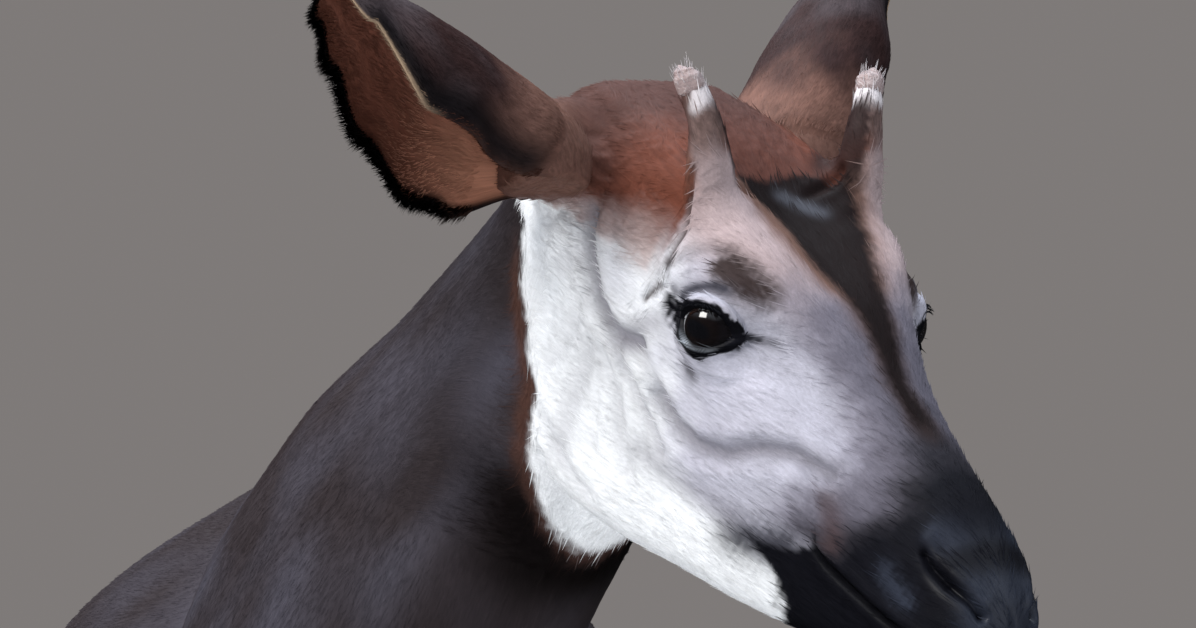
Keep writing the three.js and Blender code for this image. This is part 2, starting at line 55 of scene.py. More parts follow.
# Sizes shared with the part's source
ORIGIN = np.array([175.0, 58.0, 0.0])
HEAD_JOINT = np.array([790.0, 140.0, 1655.0])
HEAD_TURN = math.radians(32)
HEAD_DROP = math.radians(28)

EYE_CENTRE = np.array([192.0, 71.0, 47.0])
EYE_RADIUS = 22.0
EYE_OUTLOOK = [0.28, 0.95, 0.04]
LID_HALF_LENGTH = 25.0
LID_UPPER_RISE = 16.0
LID_LOWER_DROP = 13.0
LID_TILT = -4.0

OSSICONE_ROOT = np.array([138.0, 56.0, 104.0])
OSSICONE_TIP = np.array([92.0, 77.0, 177.0])
BARE_FROM = 0.78  # share of the ossicone's path where its bare bone begins
OSSICONE_RADII = [[0, 26], [0.22, 25], [0.45, 17], [0.75, 12], [0.84, 11.2], [0.9, 7], [0.97, 4]]

EAR_LENGTH = 263.0
EAR_THICKNESS = 3.6
EAR_POSES = {
    "right": {
        "root": [1, 56, 69],
        "points": [-0.055, 0.883, 0.467],
        "faces": [0.65, 0.39, -0.65],
        "spread": 1.0,
        "curl": [[0, 1.9], [0.22, 1.7], [0.44, 2.0], [0.72, 1.75], [1, 1.6]],
    },
    "left": {
        "root": [19, 63, 58],
        "points": [-0.636, 0.698, 0.329],
        "faces": [0.14, 0.52, -0.84],
        "spread": 0.86,
        "curl": [[0, 1.9], [0.22, 1.7], [0.44, 2.2], [0.72, 1.9], [1, 1.1]],
    },
}
EAR_FRONT = [[0, 38], [0.07, 60], [0.2, 103], [0.44, 122], [0.72, 110], [0.91, 52], [1, 4]]
EAR_REAR = [[0, 38], [0.07, 59], [0.2, 98], [0.37, 112], [0.55, 94], [0.74, 62], [0.89, 40], [1, 4]]
EAR_BOW = 6.0

CORONET_HEIGHT = 74.0
HOOF_LENGTH = 104.0
HOOF_WIDTH = 43.0
CLEFT = 5.0
STRIDES = {"fore_right": 26, "fore_left": -22, "hind_right": -34, "hind_left": 24}
SIDES = [("right", -1), ("left", 1)]

TORSO = [
    [640, [[0, 1180], [26, 1168], [40, 1130], [38, 1090], [22, 1062], [0, 1056]]],
    [610, [[0, 1240], [52, 1218], [96, 1160], [104, 1090], [68, 1014], [0, 990]]],
    [570, [[0, 1310], [66, 1282], [130, 1200], [146, 1100], [98, 984], [0, 950]]],
    [480, [[0, 1425], [66, 1396], [158, 1288], [190, 1125], [128, 950], [0, 900]]],
    [360, [[0, 1496], [62, 1466], [184, 1350], [212, 1140], [142, 930], [0, 878]]],
    [240, [[0, 1512], [66, 1484], [198, 1374], [228, 1140], [152, 912], [0, 860]]],
    [60, [[0, 1474], [72, 1444], [204, 1346], [242, 1128], [168, 902], [0, 846]]],
    [-150, [[0, 1428], [76, 1402], [196, 1300], [254, 1118], [176, 902], [0, 850]]],
    [-350, [[0, 1405], [88, 1380], [202, 1290], [238, 1130], [160, 940], [0, 884]]],
    [-500, [[0, 1394], [98, 1368], [200, 1280], [226, 1145], [148, 985], [0, 935]]],
    [-620, [[0, 1352], [84, 1328], [166, 1255], [190, 1150], [128, 1030], [0, 985]]],
    [-700, [[0, 1272], [58, 1250], [108, 1205], [116, 1145], [82, 1078], [0, 1050]]],
    [-728, [[0, 1200], [24, 1194], [40, 1174], [38, 1150], [24, 1128], [0, 1122]]],
]
NECK = [
    [[350, -8, 1200], 215, 190, 146],
    [[450, -10, 1290], 194, 182, 136],
    [[540, 0, 1382], 155, 160, 122],
    [[625, 36, 1472], 130, 140, 106],
    [[700, 82, 1550], 107, 128, 87],
    [[758, 118, 1612], 98, 118, 77],
    [[806, 144, 1662], 92, 98, 70],
]
HEAD = [
    [-62, [[0, 60], [34, 54], [54, 18], [56, -30], [38, -72], [0, -84]]],
    [-24, [[0, 109], [50, 104], [68, 48], [66, -30], [46, -96], [0, -112]]],
    [28, [[0, 126], [52, 114], [76, 60], [71, -34], [56, -114], [0, -131]]],
    [82, [[0, 122], [56, 118], [80, 62], [72, -42], [58, -126], [0, -144]]],
    [134, [[0, 105], [60, 116], [80, 58], [67, -44], [50, -128], [0, -145]]],
    [188, [[0, 94], [58, 100], [75, 50], [61, -38], [41, -122], [0, -138]]],
    [236, [[0, 84], [44, 78], [64, 31], [57, -38], [37, -116], [0, -130]]],
    [290, [[0, 62], [29, 55], [50, 11], [52, -40], [33, -106], [0, -119]]],
    [345, [[0, 43], [24, 37], [42, -1], [48, -42], [32, -94], [0, -106]]],
    [392, [[0, 28], [23, 22], [41, -7], [46, -44], [31, -84], [0, -95]]],
    [424, [[0, 11], [21, 5], [37, -15], [42, -43], [28, -74], [0, -84]]],
    [446, [[0, -7], [18, -11], [29, -22], [31, -42], [20, -61], [0, -69]]],
    [456, [[0, -20], [9, -22], [14, -26], [15, -38], [9, -48], [0, -51]]],
]
# Legs: height, x of the centre, front, back, half width, y of the centre
FORELEG = [
    [1200, 415, 70, 95, 40, 128],
    [1090, 410, 95, 125, 58, 146],
    [985, 380, 92, 118, 64, 150],
    [890, 352, 66, 80, 56, 140],
    [780, 345, 50, 48, 44, 130],
    [640, 346, 40, 36, 36, 124],
    [540, 348, 37, 33, 35, 121],
    [490, 350, 40, 34, 40, 120],
    [450, 349, 38, 34, 39, 120],
    [402, 345, 27, 29, 29, 119],
    [300, 344, 24, 27, 24, 118],
    [220, 344, 25, 29, 26, 117],
    [176, 346, 31, 36, 33, 116],
    [140, 352, 29, 31, 30, 116],
    [104, 364, 28, 28, 28, 116],
    [CORONET_HEIGHT - 4, 378, 38, 34, 38, 116],
]
HINDLEG = [
    [1260, -500, 130, 110, 50, 120],
    [1130, -528, 160, 160, 76, 138],
    [1000, -542, 150, 150, 84, 142],
    [900, -556, 122, 120, 74, 138],
    [800, -592, 84, 82, 58, 130],
    [700, -634, 56, 57, 44, 124],
    [620, -666, 42, 47, 36, 121],
    [566, -684, 42, 52, 36, 120],
    [520, -684, 42, 45, 38, 120],
    [470, -678, 32, 36, 31, 119],
    [400, -673, 27, 31, 26, 118],
    [290, -669, 26, 29, 25, 117],
    [215, -667, 27, 31, 27, 116],
    [172, -665, 31, 36, 33, 116],
    [138, -658, 29, 31, 30, 116],
    [104, -646, 28, 28, 28, 116],
    [CORONET_HEIGHT - 4, -632, 38, 34, 38, 116],
]
TAIL = [[-630, 0, 1285], [-700, 0, 1278], [-744, 0, 1215], [-757, 0, 1110], [-755, 0, 985]]
TAIL_RADII = [[0, 38], [0.22, 28], [0.6, 16], [1, 11]]

# How the skin is made
BODY_VOXEL = 9.0
HEAD_VOXEL = 3.0
HEAD_FIT_REACH = 14.0  # the rough skin is drawn onto the finer head from this far
FACE_FIT_REACH = 8.0
EAR_FOOT_MIDDLE = np.array([12, 64, 70])
FLESH_DEPTH_HEAD = 2.0  # the skin lies this far inside the solids, under the coat
FLESH_DEPTH_BODY = 4.0

# The lie of the neck, for its folds and the streaks of its coat
NECK_MIDDLE = np.array([640, 50, 1480])
NECK_AHEAD = [0.66, 0.26, 0.7]

# Small mathematics


def ramp(value, low, high):
    share = np.clip((value - low) / (high - low), 0.0, 1.0)
    return share * share * (3.0 - 2.0 * share)


def along(stops, t):
    """The value at t of stops [[t, value], ...], eased from stop to stop."""
    t = np.asarray(t, float)
    places = np.array([stop[0] for stop in stops], float)
    values = np.array([stop[1] for stop in stops], float)
    t = np.clip(t, places[0], places[-1])
    nearest = np.clip(np.searchsorted(places, t, side="right"), 1, len(stops) - 1)
    low, high = places[nearest - 1], places[nearest]
    return values[nearest - 1] + (values[nearest] - values[nearest - 1]) * ramp(t, low, high)


def unit(vectors):
    vectors = np.asarray(vectors, float)
    return vectors / np.maximum(np.linalg.norm(vectors, axis=-1, keepdims=True), 1e-9)


def dot(a, b):
    return np.sum(a * b, axis=-1)


def mix(a, b, share):
    share = np.asarray(share)[..., None]
    return a * (1.0 - share) + np.asarray(b) * share


def turn_z(angle):
    c, s = math.cos(angle), math.sin(angle)
    return np.array([[c, -s, 0], [s, c, 0], [0, 0, 1.0]])


def turn_y(angle):
    c, s = math.cos(angle), math.sin(angle)
    return np.array([[c, 0, s], [0, 1.0, 0], [-s, 0, c]])


def axes_along(ahead):
    """Three directions as columns: ahead, level across it, and up."""
    ahead = unit(ahead)
    side = unit([-ahead[1], ahead[0], 0])
    return np.stack([ahead, side, np.cross(ahead, side)], axis=1)


HEAD_AXES = turn_z(HEAD_TURN) @ turn_y(HEAD_DROP)
NECK_AXES = axes_along(NECK_AHEAD)
OSSICONE_AXIS = unit(OSSICONE_TIP - OSSICONE_ROOT)


def from_head(points):
    return np.asarray(points, float) @ HEAD_AXES.T + HEAD_JOINT


def to_head(points):
    return (np.asarray(points, float) - HEAD_JOINT) @ HEAD_AXES


def to_side(points, side):
    """Points of the left side, 1, or laid over to the right side, -1."""
    return points * np.array([1, side, 1])


def turns(count):
    """Angles of a full turn in equal steps."""
    return np.arange(count) * 2 * math.pi / count


def spline(points, t, closed=False):
    """A centripetal Catmull-Rom curve through points, at the shares t of its length."""
    points = np.asarray(points, float)
    count = len(points)
    t = np.atleast_1d(np.asarray(t, float)) * (count if closed else count - 1)
    if closed:
        start = np.floor(t).astype(int) % count
    else:
        start = np.clip(np.floor(t).astype(int), 0, count - 2)
        ends = 2 * points[:1] - points[1:2], 2 * points[-1:] - points[-2:-1]
        points = np.concatenate([ends[0], points, ends[1]])
    weight = t - np.floor(t) if closed else t - start
    if closed:
        p0, p1, p2, p3 = (points[(start + k) % count] for k in (-1, 0, 1, 2))
    else:
        p0, p1, p2, p3 = (points[start + k] for k in range(4))
    pairs = (p0, p1), (p1, p2), (p2, p3)
    gaps = [np.sqrt(np.linalg.norm(b - a, axis=-1, keepdims=True)) for a, b in pairs]
    d0, d1, d2 = (np.maximum(gap, 1e-4) for gap in gaps)
    leave = ((p1 - p0) / d0 - (p2 - p0) / (d0 + d1) + (p2 - p1) / d1) * d1
    arrive = ((p2 - p1) / d1 - (p3 - p1) / (d1 + d2) + (p3 - p2) / d2) * d1
    w = weight.reshape((-1,) + (1,) * (p1.ndim - 1))
    return (
        p1
        + leave * w
        + (-3 * p1 + 3 * p2 - 2 * leave - arrive) * w**2
        + (2 * p1 - 2 * p2 + leave + arrive) * w**3
    )


def bell(distance, width):
    return np.exp(-((distance / width) ** 2))


def line_distance(points, line):
    """Distance from points to a point or broken line, in as many dimensions as they have."""
    line = np.asarray(line, float)
    if len(line) == 1:
        return np.linalg.norm(points - line[0], axis=1)
    best = np.full(len(points), 1e9)
    for a, b in zip(line[:-1], line[1:]):
        span = b - a
        share = np.clip((points - a) @ span / max(span @ span, 1e-9), 0, 1)
        best = np.minimum(best, np.linalg.norm(points - a - share[:, None] * span, axis=1))
    return best


def read_line(line, at):
    """A line given as [[place, value], ...] read at a place, straight between its points."""
    line = sorted(line)
    return np.interp(at, [p[0] for p in line], [p[1] for p in line])


def wobble(points, size, seed):
    """Smooth uneven values between about -1 and 1 that vary over a distance of size."""
    draw = np.random.default_rng(seed)
    total = np.zeros(len(points))
    bend = np.sin(points @ unit(draw.normal(size=3)) * (2.2 / size) + draw.uniform(0, 6.3))
    for _ in range(9):
        way = unit(draw.normal(size=3))
        reach = 2 * math.pi / size * draw.uniform(0.5, 1.8)
        total += np.sin(points @ way * reach + 2.1 * bend + draw.uniform(0, 6.3))
    return total / 3.6


# Shells: points and faces


def ring_faces(rows, count, first=0):
    i, j = np.meshgrid(np.arange(rows - 1), np.arange(count), indexing="ij")
    a = first + i * count + j
    b = first + i * count + (j + 1) % count
    return np.stack([a, b, b + count, a + count], axis=-1).reshape(-1, 4).tolist()


def closed_shell(rows):
    """A closed skin over rings, with a fan at both ends."""
    count = rows.shape[1]
    points = rows.reshape(-1, 3)
    faces = ring_faces(len(rows), count)
    for first, flip in ((0, True), ((len(rows) - 1) * count, False)):
        hub = len(points)
        points = np.vstack([points, points[first : first + count].mean(axis=0)])
        for j in range(count):
            a, b = first + j, first + (j + 1) % count
            faces.append([b, a, hub] if flip else [a, b, hub])
    return points, faces


def loft(rings, steps, sides):
    """A smooth body through a few rings that have the same number of points."""
    around = np.arange(sides) / sides
    rounds = np.stack([spline(ring, around, closed=True) for ring in rings])
    return closed_shell(spline(rounds, np.linspace(0, 1, steps * (len(rings) - 1) + 1)))


def mirrored_ring(half, place):
    back = [[-side, height] for side, height in half[1:-1][::-1]]
    return [place(side, height) for side, height in half + back]


def tube_frames(centres):
    """Two directions across a path at each of its points, without twist."""
    ways = unit(np.gradient(centres, axis=0))
    across = np.zeros_like(ways)
    start = np.array([0.0, 0, 1]) if abs(ways[0][2]) < 0.9 else np.array([0, 1.0, 0])
    for i, way in enumerate(ways):
        start = start - way * (start @ way)
        start = start / np.linalg.norm(start)
        across[i] = start
    return across, np.cross(ways, across)


def rounds_about(centres, angle):
    """The directions at each angle round each point of a path."""
    across, up = tube_frames(centres)
    cos, sin = np.cos(angle)[None, :, None], np.sin(angle)[None, :, None]
    return cos * across[:, None] + sin * up[:, None]


def tapered_tube(path, radii, steps, sides):
    shares = np.linspace(0, 1, steps + 1)
    centres = spline(path, shares)
    radius = along(radii, shares)[:, None, None]
    return closed_shell(centres[:, None] + radius * rounds_about(centres, turns(sides)))


def ball(centre, radii, steps=24):
    polar = np.linspace(0.06, math.pi - 0.06, steps)[:, None]
    angle = turns(2 * steps)[None, :]
    x, y = np.sin(polar) * np.cos(angle), np.sin(polar) * np.sin(angle)
    rows = np.stack([x, y, np.cos(polar) + 0 * angle], axis=-1)
    return closed_shell(rows * np.array(radii) + np.array(centre))


def turned(faces):
    return [face[::-1] for face in faces]


def both_sides(shell):
    points, faces = shell
    return [shell, (to_side(points, -1), turned(faces))]


def gathered(shells):
    points, faces, first = [], [], 0
    for shell_points, shell_faces in shells:
        points.append(shell_points)
        faces += [[corner + first for corner in face] for face in shell_faces]
        first += len(shell_points)
    return np.vstack(points), faces


# The flesh


def station_rings(stations):
    """Rings from half sections, [x, [[side, height], ...]]."""
    return [mirrored_ring(half, lambda side, up, x=x: [x, side, up]) for x, half in stations]


def neck_shell():
    centres = np.array([centre for centre, *_ in NECK], float)
    rings = []
    for i, (centre, above, below, width) in enumerate(NECK):
        share = i / (len(NECK) - 1)
        ends = spline(centres, [max(share - 1e-4, 0), min(share + 1e-4, 1)])
        ahead = unit(ends[1] - ends[0])
        side = unit([-ahead[1], ahead[0], 0])
        up = np.cross(ahead, side)
        half = [
            [0, above],
            [0.5 * width, 0.82 * above],
            [0.93 * width, 0.3 * above],
            [0.94 * width, -0.36 * below],
            [0.58 * width, -0.84 * below],
            [0, -below],
        ]
        rings.append(mirrored_ring(half, lambda s, h: np.array(centre) + side * s + up * h))
    return loft(rings, 8, 72)


def ossicone_path():
    """The middle line of an ossicone, from under the skin to its tip."""
    middle = OSSICONE_ROOT + 0.55 * (OSSICONE_TIP - OSSICONE_ROOT) + np.array([3, -3, 5])
    return [OSSICONE_ROOT + np.array([14, -14, -24]), OSSICONE_ROOT, middle, OSSICONE_TIP]


def head_shells():
    shells = [loft(station_rings(HEAD), 8, 80)]
    shells += both_sides(ball([189, 58, 48], [46, 34, 38]))
    shells += both_sides(ball([-3, 65, 68], [36, 38, 36]))
    shells += both_sides(tapered_tube(ossicone_path(), OSSICONE_RADII, 40, 32))
    shells = [(from_head(points), faces) for points, faces in shells]
    return shells + [ear_root(name, side) for name, side in SIDES]


def ear_form(pose, side):
    """The bent sheet of an ear. Gives a function of share along, share across and inset."""
    length = unit(pose["points"])
    faces = np.array(pose["faces"], float)
    faces = unit(faces - length * (faces @ length))
    across = np.cross(length, faces)
    root = np.array(pose["root"], float)

    def point(t, v, inset):
        front, rear = (along(edge, t) * pose["spread"] for edge in (EAR_FRONT, EAR_REAR))
        half = front + (rear - front) * (v >= 0)
        radius = (front + rear) / 2 / along(pose["curl"], t)
        angle = v * half / radius
        reach = radius - inset
        spot = (
            root
            + (EAR_LENGTH * t)[..., None] * length
            + (reach * np.sin(angle))[..., None] * across
            + (radius - reach * np.cos(angle) - EAR_BOW * np.sin(math.pi * t))[..., None] * faces
        )
        return from_head(to_side(spot, side))

    return point


def ear_opens(v):
    """How far along the ear the skin of the head reaches: furthest at the front margin."""
    return 0.12 + 0.27 * ((1 - v) / 2) ** 1.5


def ear_root(name, side):
    """The solid foot of an ear, which the skin flows round."""
    point = ear_form(EAR_POSES[name], side)
    share, v = np.meshgrid(np.linspace(0, 1, 24), np.linspace(-1, 1, 40), indexing="ij")
    rows = point(share * ear_opens(v), v, 0.2 + 2.6 * ramp(share, 0.8, 1.0))
    points, faces = closed_shell(rows)
    return points, faces if side > 0 else turned(faces)


def leg_shell(stations, side, stride):
    top = stations[0][0]
    angle = turns(8)
    rings = []
    for height, x, front, back, half, y in stations:
        reach = np.where(np.cos(angle) > 0, front, back)
        ahead = x + stride * (1 - height / top) + reach * np.cos(angle)
        across = side * (y + half * np.sin(angle))
        rings.append(np.stack([ahead, across, height + 0 * angle], axis=1))
    return loft(rings, 6, 40)


def leg_shells():
    shells = []
    for name, side in SIDES:
        shells.append(leg_shell(FORELEG, side, STRIDES["fore_" + name]))
        shells.append(leg_shell(HINDLEG, side, STRIDES["hind_" + name]))
    return shells


def head_side(x, height):
    """Half width of the head at a place along the face and a height."""
    stations = np.array([station for station, _ in HEAD], float)
    halves = np.array([half for _, half in HEAD], float)
    after = int(np.clip(np.searchsorted(stations, x), 1, len(stations) - 1))
    share = (x - stations[after - 1]) / (stations[after] - stations[after - 1])
    half = halves[after - 1] * (1 - share) + halves[after] * share
    return float(np.interp(height, half[::-1, 1], half[::-1, 0]))


# Meshes


def row_metres(points):
    return (np.asarray(points, float) - ORIGIN) / 1000


def in_box(points):
    """Points of hair kept within the box of the solids."""
    low, high = (np.array(corner) * 1000 + ORIGIN for corner in cad_box)
    return np.clip(points, low + [0.5, 0.5, 0], high - 0.5)


def placed(name, data):
    thing = bpy.data.objects.new(name, data)
    bpy.context.scene.collection.objects.link(thing)
    return thing


def new_object(name, points, faces):
    mesh = bpy.data.meshes.new(name)
    mesh.from_pydata(row_metres(points).tolist(), [], faces)
    mesh.update()
    return placed(name, mesh)


def face_outward(mesh):
    body = bmesh.new()
    body.from_mesh(mesh)
    bmesh.ops.recalc_face_normals(body, faces=body.faces)
    body.to_mesh(mesh)
    body.free()


def read_all(items, key, width, kind=np.float32):
    flat = np.empty(len(items) * width, kind)
    items.foreach_get(key, flat)
    return flat.reshape(-1, width)


def mesh_points(mesh):
    return read_all(mesh.vertices, "co", 3).astype(float) * 1000 + ORIGIN


def set_points(mesh, points):
    mesh.vertices.foreach_set("co", row_metres(points).astype(np.float32).ravel())
    mesh.update()


def mesh_normals(mesh):
    return read_all(mesh.vertex_normals, "vector", 3).astype(float)


def melted(name, shells, voxel):
    """One closed mesh round several shells that pass through each other."""
    rough = new_object(name, *gathered(shells))
    melt = rough.modifiers.new("melt", "REMESH")
    melt.mode = "VOXEL"
    melt.voxel_size = voxel / 1000
    view = bpy.context.evaluated_depsgraph_get()
    mesh = bpy.data.meshes.new_from_object(rough.evaluated_get(view))
    bpy.data.objects.remove(rough)
    return mesh


def eased(mesh, points, share, rounds, weight=None):
    """Points drawn towards the middle of their neighbours."""
    a, b = read_all(mesh.edges, "vertices", 2, np.int32).T
    count = len(points)
    degree = np.maximum(np.bincount(np.concatenate([a, b]), minlength=count), 1)[:, None]
    pull = share if weight is None else (share * weight)[:, None]
    for _ in range(rounds):
        sums = [np.bincount(a, row[b], count) + np.bincount(b, row[a], count) for row in points.T]
        points = points + pull * (np.stack(sums, axis=1) / degree - points)
    return points


def split_faces(mesh, wanted):
    """Each edge whose two ends are wanted is halved, with its faces."""
    body = bmesh.new()
    body.from_mesh(mesh)
    edges = [edge for edge in body.edges if all(wanted[end.index] for end in edge.verts)]
    bmesh.ops.subdivide_edges(body, edges=edges, cuts=1, use_grid_fill=True)
    body.to_mesh(mesh)
    body.free()


def fitted(points, target, reach, weight):
    """Points moved onto the target's surface where it is nearer than reach."""
    vertices = [Vector(p) for p in row_metres(mesh_points(target))]
    tree = BVHTree.FromPolygons(vertices, [list(face.vertices) for face in target.polygons])
    moved_points = points.copy()
    for i in np.flatnonzero(weight > 0):
        spot, *_ = tree.find_nearest(Vector(row_metres(points[i])), reach / 1000)
        if spot is not None:
            there = np.array(spot) * 1000 + ORIGIN
            moved_points[i] += weight[i] * (there - points[i])
    return moved_points


# Features of the face, in the head's frame, as [x, height] on its side
MOUTH = [[312, -36], [318, -42], [330, -46], [350, -48], [392, -50], [432, -50], [462, -47]]
NOSTRIL = [[396, -1], [406, -5], [422, -8], [437, -11], [447, -16]]
CHEEK_FOLD = [[158, -22], [178, -32], [198, -35], [222, -27], [250, -8], [276, 3], [306, 4]]
TEMPLE_FOLD = [[56, 54], [59, 42], [73, 24], [86, 9], [99, 1], [113, -2], [131, 2]]
CROWN_LINE = [[129, 124], [134, 106], [139, 86], [140, 69], [136, 46], [128, 32]]
# Each fold: its line, depth, width, height of the lip beside it, the lip's distance, share of
# painted shade
FOLDS = [
    [CHEEK_FOLD, 5.6, 5.5, 2.2, 13, 0.72],
    [TEMPLE_FOLD, 5.4, 5.5, 2.4, 15, 0.8],
    [[[109, -7], [122, -19], [139, -32], [157, -44], [167, -54]], 2.4, 5.0, 0.9, 10, 0.42],
    [[[86, -24], [86, -46], [82, -73], [83, -101]], 2.4, 8.0, 0.0, 0, 0.34],
    [[[101, -19], [117, -40], [131, -62], [145, -84]], 2.0, 6.0, 0.7, 11, 0.26],
    [[[136, 2], [154, -12], [166, -22]], 1.8, 5.0, 0.6, 9, 0.34],
    [CROWN_LINE, 2.6, 3.2, 0.9, 7, 0.0],
    [[[296, -4], [306, -20], [309, -38]], 1.6, 4.5, 0.9, 9, 0.0],
    [[[60, -92], [84, -108], [112, -118]], 2.2, 6.0, 1.0, 12, 0.2],
    [[[64, -120], [76, -142], [82, -160]], 2.4, 6.0, 1.4, 12, 0.3],
    [[[-6, 6], [22, -32], [40, -66], [50, -100], [58, -140]], 1.2, 9.0, 0.0, 0, 0.0],
    [[[146, 64], [158, 80], [176, 90], [200, 86], [222, 70]], 1.4, 5.0, 2.4, 9, 0.0],
    [[[120, -20], [128, -70]], 0.9, 3.5, 0.0, 0, 0.12],
    [[[98, -30], [112, -84]], 0.8, 3.5, 0.0, 0, 0.12],
    [[[146, -40], [160, -78]], 0.9, 3.5, 0.0, 0, 0.12],
    [[[72, 6], [66, -26], [52, -58]], 1.2, 6.0, 0.6, 11, 0.2],
]

eye_out = unit(EYE_OUTLOOK)
eye_forward = unit(np.array([1.0, 0, 0]) - eye_out * eye_out[0])
eye_up = np.cross(eye_forward, eye_out)
if eye_up[2] < 0:
    eye_up = -eye_up


def lid_edge(rise, count):
    share = np.linspace(-1, 1, count)
    height = rise * np.maximum(1 - share**2, 0) ** 0.75 - LID_TILT * share
    return np.stack([LID_HALF_LENGTH * share, height], axis=1)


def eye_place(head_points):
    """Place on the eyeball by arc length, forward and up, and distance from its centre."""
    from_centre = head_points - EYE_CENTRE
    distance = np.linalg.norm(from_centre, axis=1)
    ahead, up, out = (dot(from_centre, way) for way in (eye_forward, eye_up, eye_out))
    flat = np.maximum(np.hypot(ahead, up), 1e-6)
    arc = EYE_RADIUS * np.arctan2(flat, out)
    return np.stack([arc * ahead / flat, arc * up / flat], axis=1), distance


def eye_gap(place):
    """Distance outside the opening between the lids, below zero inside it."""
    upper, lower = lid_edge(LID_UPPER_RISE, 33), lid_edge(-LID_LOWER_DROP, 33)
    distance = line_distance(place, np.vstack([upper, lower[::-1]]))
    ahead, up = place.T
    high, low = (np.interp(ahead, *edge.T) for edge in (upper, lower))
    inside = (np.abs(ahead) < LID_HALF_LENGTH) & (up < high) & (up > low)
    return np.where(inside, -distance, distance)


def sided(head_points):
    """Head points with the animal's right side laid over its left."""
    return head_points * np.array([1, 0, 1]) + np.abs(head_points[:, 1:2]) * np.array([0, 1, 0])


# Forms that stand out, or sink in, on the side of the face: line, height, width
SWELLS = [
    [[[180, -50], [215, -48], [262, -22]], 2.6, 15],  # cheek
    [[[24, 18], [34, 34]], 3.6, 17],  # muscle under the ear
    [[[165, 10], [215, 14], [262, 26]], 2.2, 13],  # edge of the cheekbone under the eye
]


def face_relief(head_points):
    """How far the skin stands proud of the plain flesh on the head."""
    p = sided(head_points)
    flat = p[:, [0, 2]]
    x, side, height = p.T
    on_side = ramp(side, 12, 30)
    relief = np.zeros(len(p))
    for line, depth, width, lip, lip_at, _ in FOLDS:
        distance = line_distance(flat, line)
        raised = lip * bell(distance - lip_at, width * 1.4)
        relief += (raised - depth * bell(distance, width)) * on_side
    for line, rise, width in SWELLS:
        relief += rise * bell(line_distance(flat, line), width) * on_side
    # The hollow between the ossicones, and fine upright ridges in the coat of the crown
    relief -= 2.5 * bell(side, 26) * bell(x - 140, 34) * ramp(height, 80, 100)
    ridges = wobble(p * np.array([1.0, 1.0, 0.2]), 11, 15)
    relief += 0.45 * ridges * ramp(height, 52, 66) * (1 - ramp(x, 90, 125))
    # The hollow in front of the eye
    hollow = line_distance(flat, [[214, 70], [262, 46], [300, 30]])
    relief -= 2.4 * bell(hollow, 14) * ramp(side, 24, 44)
    # Lips: the slit of the mouth and a soft roll on both sides of it
    mouth = line_distance(flat, MOUTH)
    lips = -6.5 * bell(mouth, 1.9) + 1.9 * bell(mouth - 7, 5)
    relief += lips * ramp(side, 2, 8) * ramp(x, 300, 325)
    # Groove in the front of the upper lip
    groove = 2.2 * bell(side, 2.2) * ramp(x, 420, 445)
    relief -= groove * ramp(height, -48, -36) * (1 - ramp(height, -20, -8))
    return relief


def nostril_relief(head_points):
    """A slit with a rim above it and below it."""
    p = sided(head_points)
    line = np.array([[x, head_side(x, height), height] for x, height in NOSTRIL])
    slit = along([[0, 2.4], [0.5, 3.2], [1, 3.4]], np.clip((p[:, 0] - 397) / 52, 0, 1))
    relief = -10 * bell(line_distance(p, line), slit)
    above = line_distance(p, line + np.array([-2, 0, 9]))
    below = line_distance(p, line + np.array([2, 1, -9]))
    return relief + (3.0 * bell(above, 6.5) + 2.0 * bell(below, 6))


def lid_radius(gap, upper):
    """Distance of a lid's skin from the eye's centre, by distance from the opening."""
    lid = EYE_RADIUS + 2.6 - 0.9 * bell(gap - 0.2, 1.2)
    over = 0.9 * bell(gap - 4.5, 3.0) - 2.6 * bell(gap - 9.5, 2.0) + 1.2 * bell(gap - 14, 3.5)
    under = -1.2 * bell(gap - 6.5, 2.0) + 0.6 * bell(gap - 10, 3.0) - 1.0 * bell(gap - 12.5, 1.6)
    return lid + np.where(upper, over, under)


def eyelids(head_points):
    """Head points near an eye moved into lids that hug the eyeball."""
    out = head_points.copy()
    hidden = EYE_RADIUS - 3.5
    for _, side in SIDES:
        local = to_side(head_points, side)
        near = np.linalg.norm(local - EYE_CENTRE, axis=1) < 60
        points = local[near]
        place, distance = eye_place(points)
        gap = eye_gap(place)
        upper = place[:, 1] > 0
        target = hidden + (lid_radius(gap, upper) - hidden) * ramp(gap, -1.6, 0.4)
        hold = 1 - ramp(gap, 5.5, np.where(upper, 19, 16))
        radius = distance + hold * (target - distance)
        moved_points = EYE_CENTRE + (points - EYE_CENTRE) * (radius / distance)[:, None]
        out[near] = to_side(moved_points, side)
    return out


